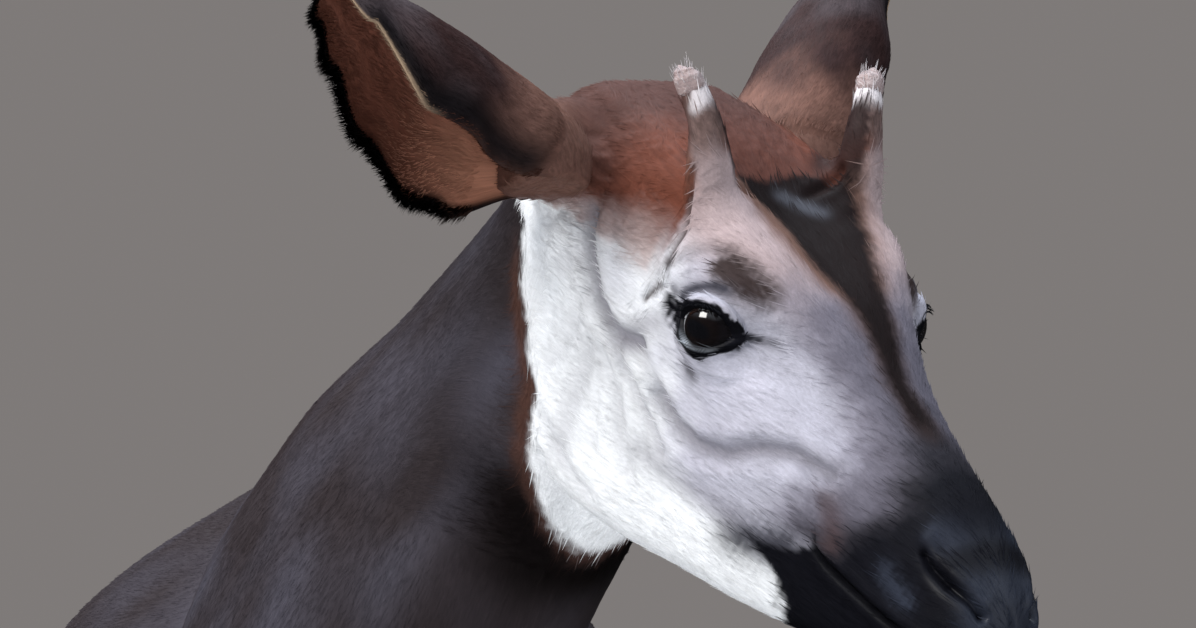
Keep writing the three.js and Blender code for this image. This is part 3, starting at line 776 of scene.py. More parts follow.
def make_skin():
    shells = [loft(station_rings(TORSO), 6, 72), neck_shell()]
    shells += [tapered_tube(TAIL, TAIL_RADII, 40, 24)] + leg_shells() + head_shells()
    mesh = melted("skin", shells, BODY_VOXEL)
    target = melted("head_form", [neck_shell()] + head_shells(), HEAD_VOXEL)
    set_points(mesh, eased(mesh, mesh_points(mesh), 0.5, 2))

    # The whole head is split once and drawn onto the finer form
    p = to_head(mesh_points(mesh))
    split_faces(mesh, (p[:, 0] > -80) & (p[:, 2] > -230))
    points = mesh_points(mesh)
    points = eased(mesh, points, 0.5, 1, ramp(to_head(points)[:, 0], -90, -60))
    p = to_head(points)
    on_head = ramp(p[:, 0], -70, -40) * (p[:, 2] > -170)
    set_points(mesh, fitted(points, target, HEAD_FIT_REACH, on_head))

    # The face is split again, and the eyes, the nose and the lips once more
    p = to_head(mesh_points(mesh))
    face = (p[:, 0] > 120) | ((p[:, 0] > 20) & (p[:, 2] > -150)) | (p[:, 2] > 118)
    split_faces(mesh, face & (p[:, 0] > 20))
    p = sided(to_head(mesh_points(mesh)))
    near_eye = np.linalg.norm(p - EYE_CENTRE, axis=1) < 50
    near_lips = (line_distance(p[:, [0, 2]], MOUTH) < 9) & (p[:, 0] > 300)
    split_faces(mesh, near_eye | (p[:, 0] > 385) | near_lips)
    points = mesh_points(mesh)
    p = to_head(points)
    on_face = ramp(p[:, 0], -10, 30)
    points = eased(mesh, points, 0.5, 1, on_face)
    points = fitted(points, target, FACE_FIT_REACH, on_face * (p[:, 2] > -150))
    points = eased(mesh, points, 0.5, 2, on_face)
    by_ear = bell(np.linalg.norm(sided(to_head(points)) - EAR_FOOT_MIDDLE, axis=1), 32)
    points = eased(mesh, points, 0.5, 18, by_ear)
    bpy.data.meshes.remove(target)
    set_points(mesh, points)

    # The depth of the coat, then folds, nostrils and lids
    normals = mesh_normals(mesh)
    p = to_head(points)
    deeper = (FLESH_DEPTH_HEAD - FLESH_DEPTH_BODY) * ramp(p[:, 0], -60, 10)
    points = points - normals * (FLESH_DEPTH_BODY + deeper)[:, None]
    relief = np.zeros(len(points))
    near_head = (p[:, 0] > -40) & (p[:, 2] > -190)
    relief[near_head] = face_relief(p[near_head])
    muzzle = p[:, 0] > 370
    relief[muzzle] += nostril_relief(p[muzzle])
    relief += 1.1 * neck_wrinkles(points)
    points = points + normals * relief[:, None]
    set_points(mesh, from_head(eyelids(to_head(points))))
    return placed("skin", mesh)


def neck_wrinkles(points):
    """Long soft folds down the neck and over the shoulder."""
    place = (points - NECK_MIDDLE) @ NECK_AXES
    on_neck = bell((place[:, 0] + 60), 190) * ramp(-to_head(points)[:, 0], -60, 10)
    return wobble(place * np.array([0.16, 1, 1]), 46, 5) * on_neck


# Markings, with painted shade, sheen and highlights: colours by place, the same for the skin and
# the coat (linear light)
CHOCOLATE = np.array([0.036, 0.028, 0.030])
SHEEN = np.array([0.082, 0.078, 0.100])
SHADE_DARK = np.array([0.006, 0.004, 0.004])
RUST = np.array([0.090, 0.040, 0.028])
WHITE = np.array([0.92, 0.93, 0.94])
LAVENDER = np.array([0.51, 0.50, 0.57])
SHADE_GREY = np.array([0.20, 0.19, 0.22])
MUZZLE_GREY = np.array([0.135, 0.125, 0.155])
MUZZLE_BLACK = np.array([0.006, 0.006, 0.009])
CHESTNUT = np.array([0.140, 0.046, 0.029])
CHESTNUT_GREY = np.array([0.076, 0.038, 0.032])
PINK_PALE = np.array([0.46, 0.36, 0.36])
PINK_BROWN = np.array([0.22, 0.125, 0.098])
STRIPE = np.array([0.010, 0.006, 0.006])
BROW = np.array([0.022, 0.011, 0.008])
SHAFT = np.array([0.082, 0.040, 0.034])
BONE = np.array([0.80, 0.74, 0.75])
EAR_FOOT = np.array([0.130, 0.066, 0.050])
LID_BLACK = np.array([0.004, 0.004, 0.006])
MOUTH_BROWN = np.array([0.075, 0.045, 0.045])

CROWN_RED = [0.118, 0.034, 0.019]
CROWN_DULL = [0.088, 0.043, 0.037]
CROWN_FADE = [0.52, 0.33, 0.29]
BAND_SHINE = [0.14, 0.15, 0.18]
WET_GLINT = [0.60, 0.65, 0.72]
SHAFT_FRONT = [0.150, 0.102, 0.092]

# Where the white cheek ends and the dark neck begins: [x, height]
WHITE_EDGE = [
    [-60, 40], [-16, 12], [14, -29], [30, -57], [45, -78],
    [53, -118], [60, -144], [72, -178], [90, -240],
]
# Where the muzzle turns black, by height: [height, x]
BLACK_EDGE = [
    [-120, 292], [-98, 289], [-84, 291], [-78, 287], [-72, 272], [-66, 262], [-60, 280],
    [-52, 297], [-46, 306], [-40, 322], [-30, 334], [-20, 340], [-11, 347], [-5, 355],
    [6, 362], [18, 360], [38, 348], [52, 322], [62, 298], [80, 276],
]
# The dark band down the face: [x, sideways place of its middle, half its width]
BAND = [
    [104, 8, 46], [130, 14, 38], [150, 19, 31], [177, 14, 28], [200, 9, 25],
    [224, 9, 18], [246, 8, 15], [270, 3, 12], [292, -2, 10], [330, 0, 12],
]
BAND_FLANK = [[120, 30], [157, 30], [202, 24], [235, 12], [262, 5], [300, 2]]
BAND_SHEEN = [[128, 6, 106], [138, 14, 104], [148, 24, 101]]
BROW_LINE = [[184, 74, 86], [216, 64, 83]]
CROWN_LOW = [[-60, 26], [-15, 33], [20, 40], [42, 48], [90, 52], [125, 56]]


def behind_white(x, height):
    """Distance behind the line where the white cheek ends and the dark neck begins."""
    return read_line([[place[1], place[0]] for place in WHITE_EDGE], height) - x


def on_ear_root(head_points):
    """1 where the skin climbs from the head onto the foot of an ear."""
    share = np.zeros(len(head_points))
    for name, side in SIDES:
        local = to_side(head_points, side)
        along_ear = (local - EAR_POSES[name]["root"]) @ unit(EAR_POSES[name]["points"])
        share = np.maximum(share, ramp(along_ear, 16, 46) * ramp(local[:, 1], 34, 62))
    return share


def by_stem(p):
    """Height up an ossicone's axis, and way and distance from it, on the left side."""
    up_stem = dot(p - OSSICONE_ROOT, OSSICONE_AXIS)
    from_axis = p - OSSICONE_ROOT - up_stem[:, None] * OSSICONE_AXIS
    return up_stem, from_axis, np.linalg.norm(from_axis, axis=1)


class Layers:
    """A colour for each point, with others laid over it."""

    def __init__(self, first, count):
        self.colour = np.tile(first, (count, 1))

    def lay(self, colour, share):
        self.colour = mix(self.colour, colour, share)


class Face(Layers):
    """The colours of the head, with what its markings have in common."""

    def __init__(self, head_points):
        super().__init__(WHITE, len(head_points))
        self.points, self.p = head_points, sided(head_points)
        self.x, self.side, self.height = self.p.T
        self.flat = self.p[:, [0, 2]]
        self.uneven = wobble(self.p, 30, 2)
        self.fine = wobble(self.p, 9, 3)
        self.hair = wobble(self.p * np.array([0.3, 1.0, 1.0]), 5, 14)
        self.on_side = ramp(self.side, 25, 45)
        rough = 3.5 * self.uneven + 1.5 * self.fine
        self.edge = self.x - read_line(BLACK_EDGE, self.height) + rough
        high = self.height > -40
        self.black = ramp(self.edge, np.where(high, -6, -7), np.where(high, 18, 7))
        self.front = 114 + 20 * ramp(self.side, 18, 54)
        brow_at = line_distance(self.p, BROW_LINE) + self.fine + 0.8 * self.hair
        self.brow = 1 - ramp(brow_at, 6, 19)

    def near(self, line, width, rough=0.0):
        return bell(line_distance(self.flat, line) + rough, width)


def colour_cheek(f):
    """White that turns lavender towards the muzzle."""
    off_jaw = ramp(f.height, -84, -58)
    f.lay(LAVENDER * 1.08, ramp(f.x + 0.25 * f.height + 6 * f.uneven, 126, 200) * off_jaw)
    above_fold = ramp(f.height - 0.1 * (f.x - 200), 0, 46) * ramp(f.x, 196, 250)
    f.lay(LAVENDER, above_fold * off_jaw)
    f.lay(LAVENDER * 1.1, 0.4 * f.near([[98, 32]], 24))
    f.lay(PINK_PALE, ramp(f.height, 56, 98) * ramp(f.x, 116, 140))
    f.lay(LAVENDER * 0.80, 0.15 * f.near([[222, 56], [262, 46], [290, 36]], 18))
    # Painted light: a paler patch under the eye, lifting the shade below the orbit
    f.lay(LAVENDER * 1.35, 0.6 * f.near([[206, 16], [232, 28]], 15) * f.on_side)
    # Painted shade at the corner of the chin and under the cheekbone
    chin_shadow = f.near([[226, -80], [242, -74], [270, -64], [292, -52]], 16, 2 * f.fine)
    f.lay(MUZZLE_BLACK * 3, 0.92 * chin_shadow * ramp(f.x, 210, 250))
    f.lay(SHADE_GREY, 0.4 * f.near([[150, -64], [196, -66], [236, -62]], 11) * f.on_side)


def colour_muzzle(f):
    """Grey, then black, with a painted bluish sheen over and in front of the nostril."""
    above_lip = ramp(f.height, -50, -32)
    grey = MUZZLE_GREY * (0.45 + 0.45 * ramp(f.height, -34, -4))[:, None]
    f.lay(MUZZLE_GREY * 1.2, ramp(f.edge, -84, -30) * 0.9 * above_lip)
    f.lay(grey, ramp(f.edge, -48, -16) * above_lip)
    f.lay(MUZZLE_GREY * 0.22, ramp(f.edge, -22, 4) * above_lip)
    f.lay(MOUTH_BROWN, 0.6 * f.near([[314, -10], [326, -24], [330, -34]], 9) * f.on_side)
    f.lay(MUZZLE_BLACK, f.black)
    # Painted sheen on the wet skin round the nostril and on the tip of the nose
    nose_shine = f.near([[378, -24], [390, -28], [402, -30]], 7, 2 * f.fine)
    nose_shine = np.maximum(nose_shine, 0.8 * f.near([[392, 14], [404, 12]], 7))
    nose_shine = np.maximum(nose_shine, f.near([[436, 2], [450, -24]], 9))
    f.lay(MUZZLE_GREY * np.array([0.36, 0.46, 0.54]), 0.5 * nose_shine * ramp(f.edge, 10, 24))
    # Painted shade in the slit of the mouth
    f.lay(MUZZLE_BLACK * 0.6, f.near(MOUTH, 4.5) * ramp(f.x, 304, 316))


def colour_forehead(f):
    """The brown flanks of the dark band down the forehead, then the band."""
    from_middle = f.points[:, 1] - read_line([[x, middle] for x, middle, _ in BAND], f.x)
    half = read_line([[x, half] for x, _, half in BAND], f.x)
    across = np.abs(from_middle)
    flank = half + (1 - 0.5 * ramp(from_middle, -4, 4)) * read_line(BAND_FLANK, f.x)
    on_top = ramp(f.height + 0.35 * f.x, 100, 126)
    forward = ramp(f.x + f.fine, f.front - 24, f.front - 14) * (1 - ramp(f.x, 318, 345))
    brown = PINK_BROWN * (0.82 - 0.37 * ramp(f.x, 205, 260))[:, None]
    beside = 1 - ramp(across + 2 * f.uneven + f.hair, flank - 22, flank + 5)
    f.lay(brown, beside * on_top * forward * (1 - f.black))
    within = 1 - ramp(across + f.fine + f.hair, half - 9, half + 5)
    f.lay(STRIPE, within * on_top * forward)
    f.lay(BAND_SHINE, 0.5 * bell(line_distance(f.points, BAND_SHEEN), 5.5))


def colour_crown(f):
    """Chestnut that pales at its lower edge, with the brow below and the foot of the ear behind."""
    low = read_line(CROWN_LOW, f.x)
    soft = read_line([[-10, 3], [20, 8], [60, 24], [100, 42]], f.x)
    rough = 2.5 * f.uneven + 1.5 * f.fine + f.hair
    crown = ramp(f.height + rough, low - 0.5 * soft, low + soft)
    fade = 0.6 * ramp(crown, 0.02, 0.35) * (1 - ramp(f.x + f.fine, f.front - 16, f.front - 6))
    crown = crown * (1 - ramp(f.x + f.fine, f.front - 3, f.front + 4))
    ahead = f.x - 0.3 * (f.height - 90)
    chestnut = np.tile(CHESTNUT, (len(f.x), 1))
    chestnut = mix(chestnut, CHESTNUT_GREY, (1 - ramp(ahead, 16, 84)) * 0.9)
    chestnut = chestnut * (1 + 0.10 * f.hair + 0.08 * f.uneven)[:, None]
    reddest = 0.8 * ramp(ahead, 84, 116) * (0.3 + 0.7 * ramp(f.side, 30, 52))
    chestnut = mix(chestnut, CROWN_RED, reddest)
    chestnut = mix(chestnut, CROWN_DULL, 0.6 * (1 - ramp(f.side, 26, 50)))
    f.lay(CROWN_FADE, fade)
    f.lay(chestnut, crown)
    f.lay(BROW, 0.95 * f.brow)
    foot = on_ear_root(f.points) * ramp(f.height - low + 2 * f.fine + 2 * f.uneven, -8, 10)
    f.lay(EAR_FOOT * 1.15 * (1 + 0.15 * f.hair)[:, None], foot)


def colour_folds(f):
    # Painted shade: grey in the folds, under the foot of the ear, and a dark line in the crease in
    # front of the crown
    for line, _, width, _, _, share in FOLDS:
        if share:
            f.lay(SHADE_GREY, share * f.near(line, 1.3 * width) * f.on_side * (1 - f.black))
    f.lay(SHADE_GREY * 1.6, 0.2 * f.near([[66, 34], [44, 12]], 9) * f.on_side)
    below_front = 1 - ramp(f.height, 106, 116)
    f.lay(CHESTNUT_GREY * 0.5, 0.85 * f.near(CROWN_LINE, 2.4) * below_front * f.on_side)


def colour_eye(f):
    """Black rim, pale lid under a dark crease of painted shade, tear line, painted shade round the
    eye, and a painted highlight along the wet edge below.
    """
    place, distance = eye_place(f.p)
    ahead, up = place.T
    gap = eye_gap(place)
    close = 1 - ramp(distance, 42, 52)
    above = ramp(up, -2, 5)
    # Painted shade round the eye, behind it where the temple fold ends, and above the lid
    shade_round_eye = bell(gap - 6, 11) * (1 - ramp(distance, 40, 56)) * (1 - f.brow)
    f.lay(LAVENDER * 0.55, 0.45 * shade_round_eye * (1 - ramp(ahead, 8, 20) * ramp(-up, 4, 12)))
    f.lay(SHADE_GREY * 1.3, 0.55 * f.near([[118, -4], [132, 10], [142, 22]], 10) * f.on_side)
    f.lay(LAVENDER * 0.6, 0.5 * f.near([[160, 70], [172, 76]], 9) * f.on_side * (1 - f.brow))
    pale = bell(gap - 6.4, 3.4) * above * (1 - ramp(np.abs(ahead + 6), 9, 18)) * close
    f.lay(LAVENDER * 0.95, pale)
    # The dark crease above the lid is painted shade
    crease = bell(gap - 12.0, 2.3) * above * (1 - ramp(ahead, 0, 14)) * close
    f.lay(LID_BLACK * 6, 0.9 * crease)
    rim = 1.6 + 7.0 * (1 - above) * (1 - ramp(ahead, 2, 18))
    rim = rim + 3.5 * ramp(ahead, 15, 24) * ramp(up, -10, -5) + 3.6 * ramp(-ahead, 14, 22)
    soft = 1.8 + 2.0 * (1 - above)
    f.lay(LID_BLACK, (1 - ramp(gap + 0.7 * f.fine + 0.5 * f.hair, rim, rim + soft)) * close)
    f.lay(SHADE_GREY * 0.4, 0.9 * f.near([[184, 11]], 8, f.fine) * f.on_side)
    tear = line_distance(place, [[20, 2], [27, 5], [33, 7]]) + 0.5 * f.fine
    f.lay(LID_BLACK * 2, (1 - ramp(tear, 1.6, 5.5)) * close * 0.95)
    # Painted highlight along the wet edge of the lower lid
    wet = bell(gap - 0.3, 0.6) * ramp(-up, 2, 6) * close * (0.16 + 0.84 * bell(ahead + 7, 5))
    f.lay(WET_GLINT, 0.9 * wet * (1 - ramp(ahead, 12, 19)) * (1 - ramp(-ahead, 16, 20)))


def colour_ossicones(f):
    up_stem, from_axis, off_axis = by_stem(f.p)
    near_stem = 1 - ramp(off_axis, 24, 36)
    ahead_in = dot(from_axis, [0.57, -0.79, 0.22])
    inward = -from_axis[:, 1]
    rear = ramp(-ahead_in, 3, 9)
    shaft = mix(np.tile(SHAFT, (len(f.p), 1)), CHESTNUT * 0.5, rear * 0.6)
    low_front = ramp(from_axis[:, 0], -2, 6) * (1 - ramp(up_stem, 58, 78))
    shaft = mix(shaft, SHAFT_FRONT, 0.8 * low_front) * (1 + 0.25 * f.hair)[:, None]
    foot = ramp(up_stem, 0, 16) * near_stem * (1 - rear) * (1 - ramp(inward, -2, 6))
    f.lay(PINK_PALE * 0.8, foot * 0.8)
    on_stem = ramp(up_stem + 3 * f.uneven, 22, 48) * near_stem
    f.lay(shaft, on_stem)
    worn = ramp(ahead_in + 2 * f.uneven, -1, 5) * ramp(up_stem + 4 * f.uneven, 54, 66)
    inner = ramp(inward + f.fine, 6, 10.5) * (1 - 0.9 * ramp(up_stem, 62, 74))
    f.lay(STRIPE * 2, ramp(up_stem, 2, 24) * near_stem * inner * 0.85)
    f.lay(BONE * 0.9, on_stem * worn)


def head_colours(head_points):
    face = Face(head_points)
    for part in (
        colour_cheek,
        colour_muzzle,
        colour_forehead,
        colour_crown,
        colour_folds,
        colour_eye,
        colour_ossicones,
    ):
        part(face)
    return face.colour


def stripes(points, uneven):
    """White bars, and where they lie: on the haunch and on the upper foreleg."""
    x, y, z = points.T
    side = np.abs(y)
    hind = x < -250
    shift = np.where(hind, 0.34 * (x + 600), 0.22 * (x - 350))
    pitch = np.where(hind, 62, 46)
    phase = np.mod(z + shift + 12 * uneven, pitch) / pitch
    bar = ramp(phase, 0.12, 0.22) * (1 - ramp(phase, 0.52, 0.62))
    haunch = ramp(-x + 0.35 * (z - 900), 480, 560) * ramp(z, 560, 620) * (1 - ramp(z, 1130, 1210))
    haunch = haunch * hind * ramp(side, 20, 60)
    arm = ramp(z, 560, 610) * (1 - ramp(z, 800, 850)) * (x > 200) * (x < 480) * ramp(side, 70, 100)
    return bar * np.maximum(haunch, arm)


def body_colours(points):
    x, y, z = points.T
    uneven = wobble(points, 120, 7)
    fine = wobble(points, 34, 8)
    coat = Layers(CHOCOLATE, len(points))
    combed = (points - NECK_MIDDLE) @ NECK_AXES
    streak = wobble(combed * np.array([0.22, 1.0, 1.0]), 60, 9)
    sheen = np.clip(0.28 + 0.2 * uneven + 0.22 * streak, 0, 0.85)
    coat.lay(SHEEN, sheen * ramp(z, 1000, 1350) * (0.45 + 0.55 * ramp(x, 300, 560)))
    # Painted shade: darker under the neck and on its top just behind the head
    above = combed[:, 2]
    coat.lay(SHADE_DARK * 3, 0.6 * ramp(-above, 66, 110) * ramp(x, 520, 640))
    coat.lay(SHADE_DARK * 4, 0.6 * ramp(above, 70, 96) * ramp(x, 540, 620))
    coat.lay(CHOCOLATE * 0.5, 0.6 * ramp(z, 1560, 1660))
    # Painted shade under the belly and round the tops of the legs
    coat.lay(SHADE_DARK, (1 - ramp(z, 880, 1010)) * (x < 520) * ramp(z, 800, 850))
    coat.lay(WHITE * 0.86, stripes(points, uneven * 0.4 + fine * 0.3))
    # Lower legs: white stockings, a dark band at knee, hock, fetlock and coronet
    fore = x > -100
    white_from = np.where(fore, 610, 590) + 8 * fine
    coat.lay(WHITE * 0.84, (1 - ramp(z, white_from - 14, white_from + 14)) * (z < 900))
    ring = bell(z - np.where(fore, 455, 520) + 5 * fine, np.where(fore, 30, 22))
    coat.lay(CHOCOLATE, np.clip(ring * 1.5, 0, 1) * (z < 600) * np.where(fore, 1, 0.9))
    coat.lay(CHOCOLATE * 0.9, 1 - ramp(z + 4 * fine, 178, 206))
    coat.lay(WHITE * 0.8, bell(z - 118 + 3 * fine, 17))
    # A dark line down the front of the forelegs
    stride = np.where(y > 0, STRIDES["fore_left"], STRIDES["fore_right"])
    ahead = x - stride * (1 - z / 1200)
    front = ramp(ahead, 362, 369) * (np.abs(np.abs(y) - 118) < 13) * (z < 560) * (z > 180) * fore
    coat.lay(CHOCOLATE, front * 0.92)
    return coat.colour


def markings(points):
    """Colour of the coat at points in the animal's frame."""
    head_points = to_head(points)
    colour = body_colours(points)
    x, height = head_points[:, 0], head_points[:, 2]
    near = (x > -110) & (height > -260) & (np.abs(head_points[:, 1]) < 190)
    if near.any():
        p = head_points[near]
        behind = behind_white(p[:, 0], p[:, 2]) + 1.2 * wobble(p, 12, 4) + 2 * wobble(p, 50, 6)
        dark = ramp(behind, -3, 3)
        neck = mix(colour[near], RUST, 0.8 * bell(behind - 6, 7) * ramp(-p[:, 2], -10, 30))
        on_crown = ramp(p[:, 2] + 0.4 * p[:, 0], 40, 70)
        poll = ramp(-p[:, 0], 20, 60)
        neck = mix(neck, CHESTNUT_GREY * 0.7, on_crown * (1 - poll))
        dark = dark * (1 - on_crown) + poll * on_crown
        face = head_colours(p)
        # Painted shade on the throat under the jaw
        throat = (1 - ramp(p[:, 2], -158, -112)) * ramp(behind, 0, 10) * (1 - ramp(behind, 14, 80))
        neck = mix(neck, SHADE_DARK, throat * ramp(p[:, 2], -258, -205))
        colour[near] = face * (1 - dark)[:, None] + neck * dark[:, None]
    return np.clip(colour, 0.003, 0.95)


def bareness(points):
    """How bare and moist the skin is: 1 on the nose, the lips and the rims of the eyes."""
    p = sided(to_head(points))
    x, _, height = p.T
    pad = ramp(x + 0.3 * height, 398, 424)
    mouth = line_distance(p[:, [0, 2]], MOUTH)
    lips = 0.3 * (bell(mouth, 8) - bell(mouth, 4)) * ramp(x, 306, 330)
    place, distance = eye_place(p)
    rim = 0.25 * (1 - ramp(eye_gap(place), 1.5, 4)) * (distance < 36)
    return np.clip(np.maximum(np.maximum(pad, lips), rim), 0, 1)


def region_shares(points):
    """Shares of head, neck and leg at each point; the rest is trunk."""
    p = to_head(points)
    head = ramp(p[:, 0], -50, 30) * (p[:, 2] > -200)
    neck = ramp(points[:, 0] + 0.8 * (points[:, 2] - 1300), 380, 560) * (1 - head)
    leg = 1 - ramp(points[:, 2], 820, 1000)
    return head, neck, leg


def comb(points):
    """Coordinates whose first axis runs along the lie of the coat."""
    head, neck, leg = region_shares(points)
    on_neck = (points - np.array([700, 82, 1550])) @ axes_along([0.6, 0.24, 0.76])
    trunk = mix(points, points[:, [2, 1, 0]], leg)
    return mix(mix(trunk, on_neck, neck), to_head(points), head)


def lie(points, normals):
    """The way the hair points, along the surface."""
    head, neck, leg = region_shares(points)
    p = to_head(points)
    x, across, height = p.T
    trunk = np.tile([-1.0, 0, -0.35], (len(points), 1))
    way = mix(trunk, [-0.12, 0, -1.0], leg)
    way = mix(way, unit([-0.66, -0.26, -0.72]), neck)
    down = -0.35 * ramp(height, -20, 90)
    back = np.stack([-np.ones(len(p)), 0.25 * np.sign(across), down], axis=1)
    # Up the ossicones, and down beside the line in front of the crown
    stem = by_stem(sided(p))[0]
    one = np.ones(len(p))
    up_horn = OSSICONE_AXIS * np.stack([one, np.sign(across), one], axis=1)
    back = mix(back, up_horn, ramp(stem, 16, 40) * (height > 110))
    at_crown = bell(line_distance(sided(p)[:, [0, 2]], CROWN_LINE), 13) * (np.abs(across) > 45)
    back = mix(unit(back), [0.05, 0.0, -1.0], 0.9 * at_crown)
    # Along the border of the white cheek
    places, heights = np.array(WHITE_EDGE, float).T
    slope = np.interp(height, heights[::-1], np.gradient(places, heights)[::-1])
    border = np.stack([-slope, 0 * slope, -one], axis=1)
    at_border = bell(behind_white(x, height), 13) * (1 - ramp(height, 14, 34))
    back = mix(unit(back), unit(border), at_border)
    head = np.maximum(head, at_border * (height > -190) * (x > -60))
    way = mix(way, unit(back) @ HEAD_AXES.T, head)
    return unit(way - normals * dot(way, normals)[:, None])


# Attributes that the materials read


def paint(mesh, colours):
    layer = mesh.color_attributes.new("markings", "FLOAT_COLOR", "POINT")
    rgba = np.concatenate([colours, np.ones((len(colours), 1))], axis=1)
    layer.data.foreach_set("color", rgba.astype(np.float32).ravel())


def set_comb(mesh, places):
    layer = mesh.attributes.new("comb", "FLOAT_VECTOR", "POINT")
    layer.data.foreach_set("vector", places.astype(np.float32).ravel())


def set_bare(mesh, shares):
    layer = mesh.attributes.new("bare", "FLOAT", "POINT")
    layer.data.foreach_set("value", shares.astype(np.float32).ravel())


# The coat


def unwrap(points):
    """A place on an unwrap of the animal's own shape for each point, between 0 and 1."""
    p = to_head(points)
    head, neck, leg = region_shares(points)
    x, y, z = points.T
    head_angle = np.arctan2(p[:, 1], p[:, 2] + 10) / (2 * math.pi) + 0.5
    body_angle = np.arctan2(y - 40 * neck, z - 1180 - 0.9 * (x - 350) * neck) / (2 * math.pi) + 0.5
    leg_number = np.where(x > 0, 2, 0) + np.where(y > 0, 1, 0)
    leg_x = np.where(x > 0, 350, np.interp(z, [500, 900], [-670, -560]))
    leg_angle = np.arctan2(np.abs(y) - 120, x - leg_x) / (2 * math.pi) + 0.5
    u = np.where(head > 0.5, head_angle, body_angle)
    v = np.where(head > 0.5, 0.02 + 0.3 * (p[:, 0] + 80) / 560, 0.34 + 0.3 * (x + 780) / 1600)
    on_leg = leg > 0.5
    u = np.where(on_leg, (leg_number + 0.05 + 0.9 * leg_angle) / 4, u)
    v = np.where(on_leg, 0.68 + 0.3 * z / 1000, v)
    return np.stack([np.clip(u, 0.004, 0.996), np.clip(v, 0.004, 0.996)], axis=1)


def scattered(mesh, density, count, seed):
    """Roots spread over a mesh, with more where the density is higher: points, normals."""
    mesh.calc_loop_triangles()
    corners = read_all(mesh.loop_triangles, "vertices", 3, np.int32)
    points, normals = mesh_points(mesh), mesh_normals(mesh)
    a, b, c = (points[corners[:, k]] for k in range(3))
    area = np.linalg.norm(np.cross(b - a, c - a), axis=1) / 2
    weight = area * density(points)[corners].mean(axis=1)
    draw = np.random.default_rng(seed)
    chosen = draw.choice(len(corners), size=count, p=weight / weight.sum())
    s, t = draw.random(count), draw.random(count)
    over = s + t > 1
    s, t = np.where(over, 1 - s, s)[:, None], np.where(over, 1 - t, t)[:, None]
    picked = corners[chosen]
    shares = [1 - s - t, s, t]
    roots, ways = (sum(v[picked[:, k]] * shares[k] for k in range(3)) for v in (points, normals))
    return roots, unit(ways)


# How a tuft is built from its corners: its faces, the corners' places on its patch of the
# unwrap, and the turn of their normals. The corners are left, right, top and tip; a tuft with
# a bend has left, right and top once more at its middle.
STRAIGHT_TUFT = {
    "faces": [[0, 2, 1], [0, 1, 3], [1, 2, 3], [2, 0, 3]],
    "patch": [[-1, -1], [1, -1], [0, -0.6], [0, 1]],
    "turn": [0.12, -0.12, 0, 0],
}
BENT_TUFT = {
    "faces": [
        [0, 2, 1], [0, 1, 4], [0, 4, 3], [1, 2, 5], [1, 5, 4],
        [2, 0, 3], [2, 3, 5], [3, 4, 6], [4, 5, 6], [5, 3, 6],
    ],
    "patch": [[-1, -1], [1, -1], [0, -0.6], [-0.8, 0.1], [0.8, 0.1], [0, 0.3], [0, 1]],
    "turn": [0.12, -0.12, 0, 0.12, -0.12, 0, 0],
}
HALF_PATCH = 0.0015


def triangle_mesh(name, points, corners):
    mesh = bpy.data.meshes.new(name)
    mesh.vertices.add(len(points))
    mesh.vertices.foreach_set("co", row_metres(points).astype(np.float32).ravel())
    mesh.loops.add(len(corners))
    mesh.loops.foreach_set("vertex_index", corners.astype(np.int32))
    mesh.polygons.add(len(corners) // 3)
    mesh.polygons.foreach_set("loop_start", np.arange(0, len(corners), 3, dtype=np.int32))
    mesh.update(calc_edges=True)
    mesh.validate()
    return mesh


def tuft_mesh(name, roots, normals, ways, lengths, widths, lift, colours, places, seed, bend=0.0):
    """Solid spikes that lie along the skin. Each is closed: four faces, or ten when it is bent."""
    draw = np.random.default_rng(seed)
    count = len(roots)
    normals, ways = unit(normals), unit(ways)
    across = np.cross(ways, normals)
    ways = unit(ways + across * draw.normal(0, 0.12, (count, 1)))
    across = np.cross(ways, normals)
    lift = (lift * (0.7 + 0.6 * draw.random(count)))[:, None]
    lengths = (lengths * (0.7 + 0.6 * draw.random(count)))[:, None]
    widths = (widths * (0.75 + 0.5 * draw.random(count)))[:, None]
    way = ways * np.cos(lift) + normals * np.sin(lift)
    foot = roots - normals * 0.35 * widths - way * 0.12 * lengths
    aside = across * widths * 0.5
    rows = [foot + aside, foot - aside, foot + normals * 0.6 * widths]
    tip = foot + way * lengths * 1.1
    if bend:
        middle = foot + way * lengths * 0.5 + normals * lengths * 0.06
        slim = widths * 0.75
        rows += [middle + across * slim * 0.5, middle - across * slim * 0.5]
        rows += [middle + normals * slim * 0.5]
        tip = tip - normals * bend * lengths
    rows.append(tip)
    per = len(rows)
    form = BENT_TUFT if bend else STRAIGHT_TUFT
    points = in_box(np.stack(rows, axis=1).reshape(-1, 3))
    corners = (np.arange(count)[:, None, None] * per + np.array(form["faces"])[None]).reshape(-1)
    mesh = triangle_mesh(name, points, corners)
    shade = (0.94 + 0.12 * draw.random(count))[:, None]
    paint(mesh, np.clip(np.repeat(colours * shade, per, axis=0), 0.002, 0.96))
    patch = (places[:, None] + HALF_PATCH * np.array(form["patch"])[None]).reshape(-1, 2)
    uv = mesh.uv_layers.new(name="OFBake")
    uv.data.foreach_set("uv", patch[corners].astype(np.float32).ravel())
    # The tufts are lit as the skin under them is, with a little of their own turn
    turn = np.tile(np.array(form["turn"], float)[:, None], (count, 1))
    own = np.repeat(normals, per, axis=0) + np.repeat(across, per, axis=0) * turn
    own = unit(own + np.repeat(way, per, axis=0) * 0.15)
    mesh.normals_split_custom_set_from_vertices(own.astype(np.float32))
    return mesh


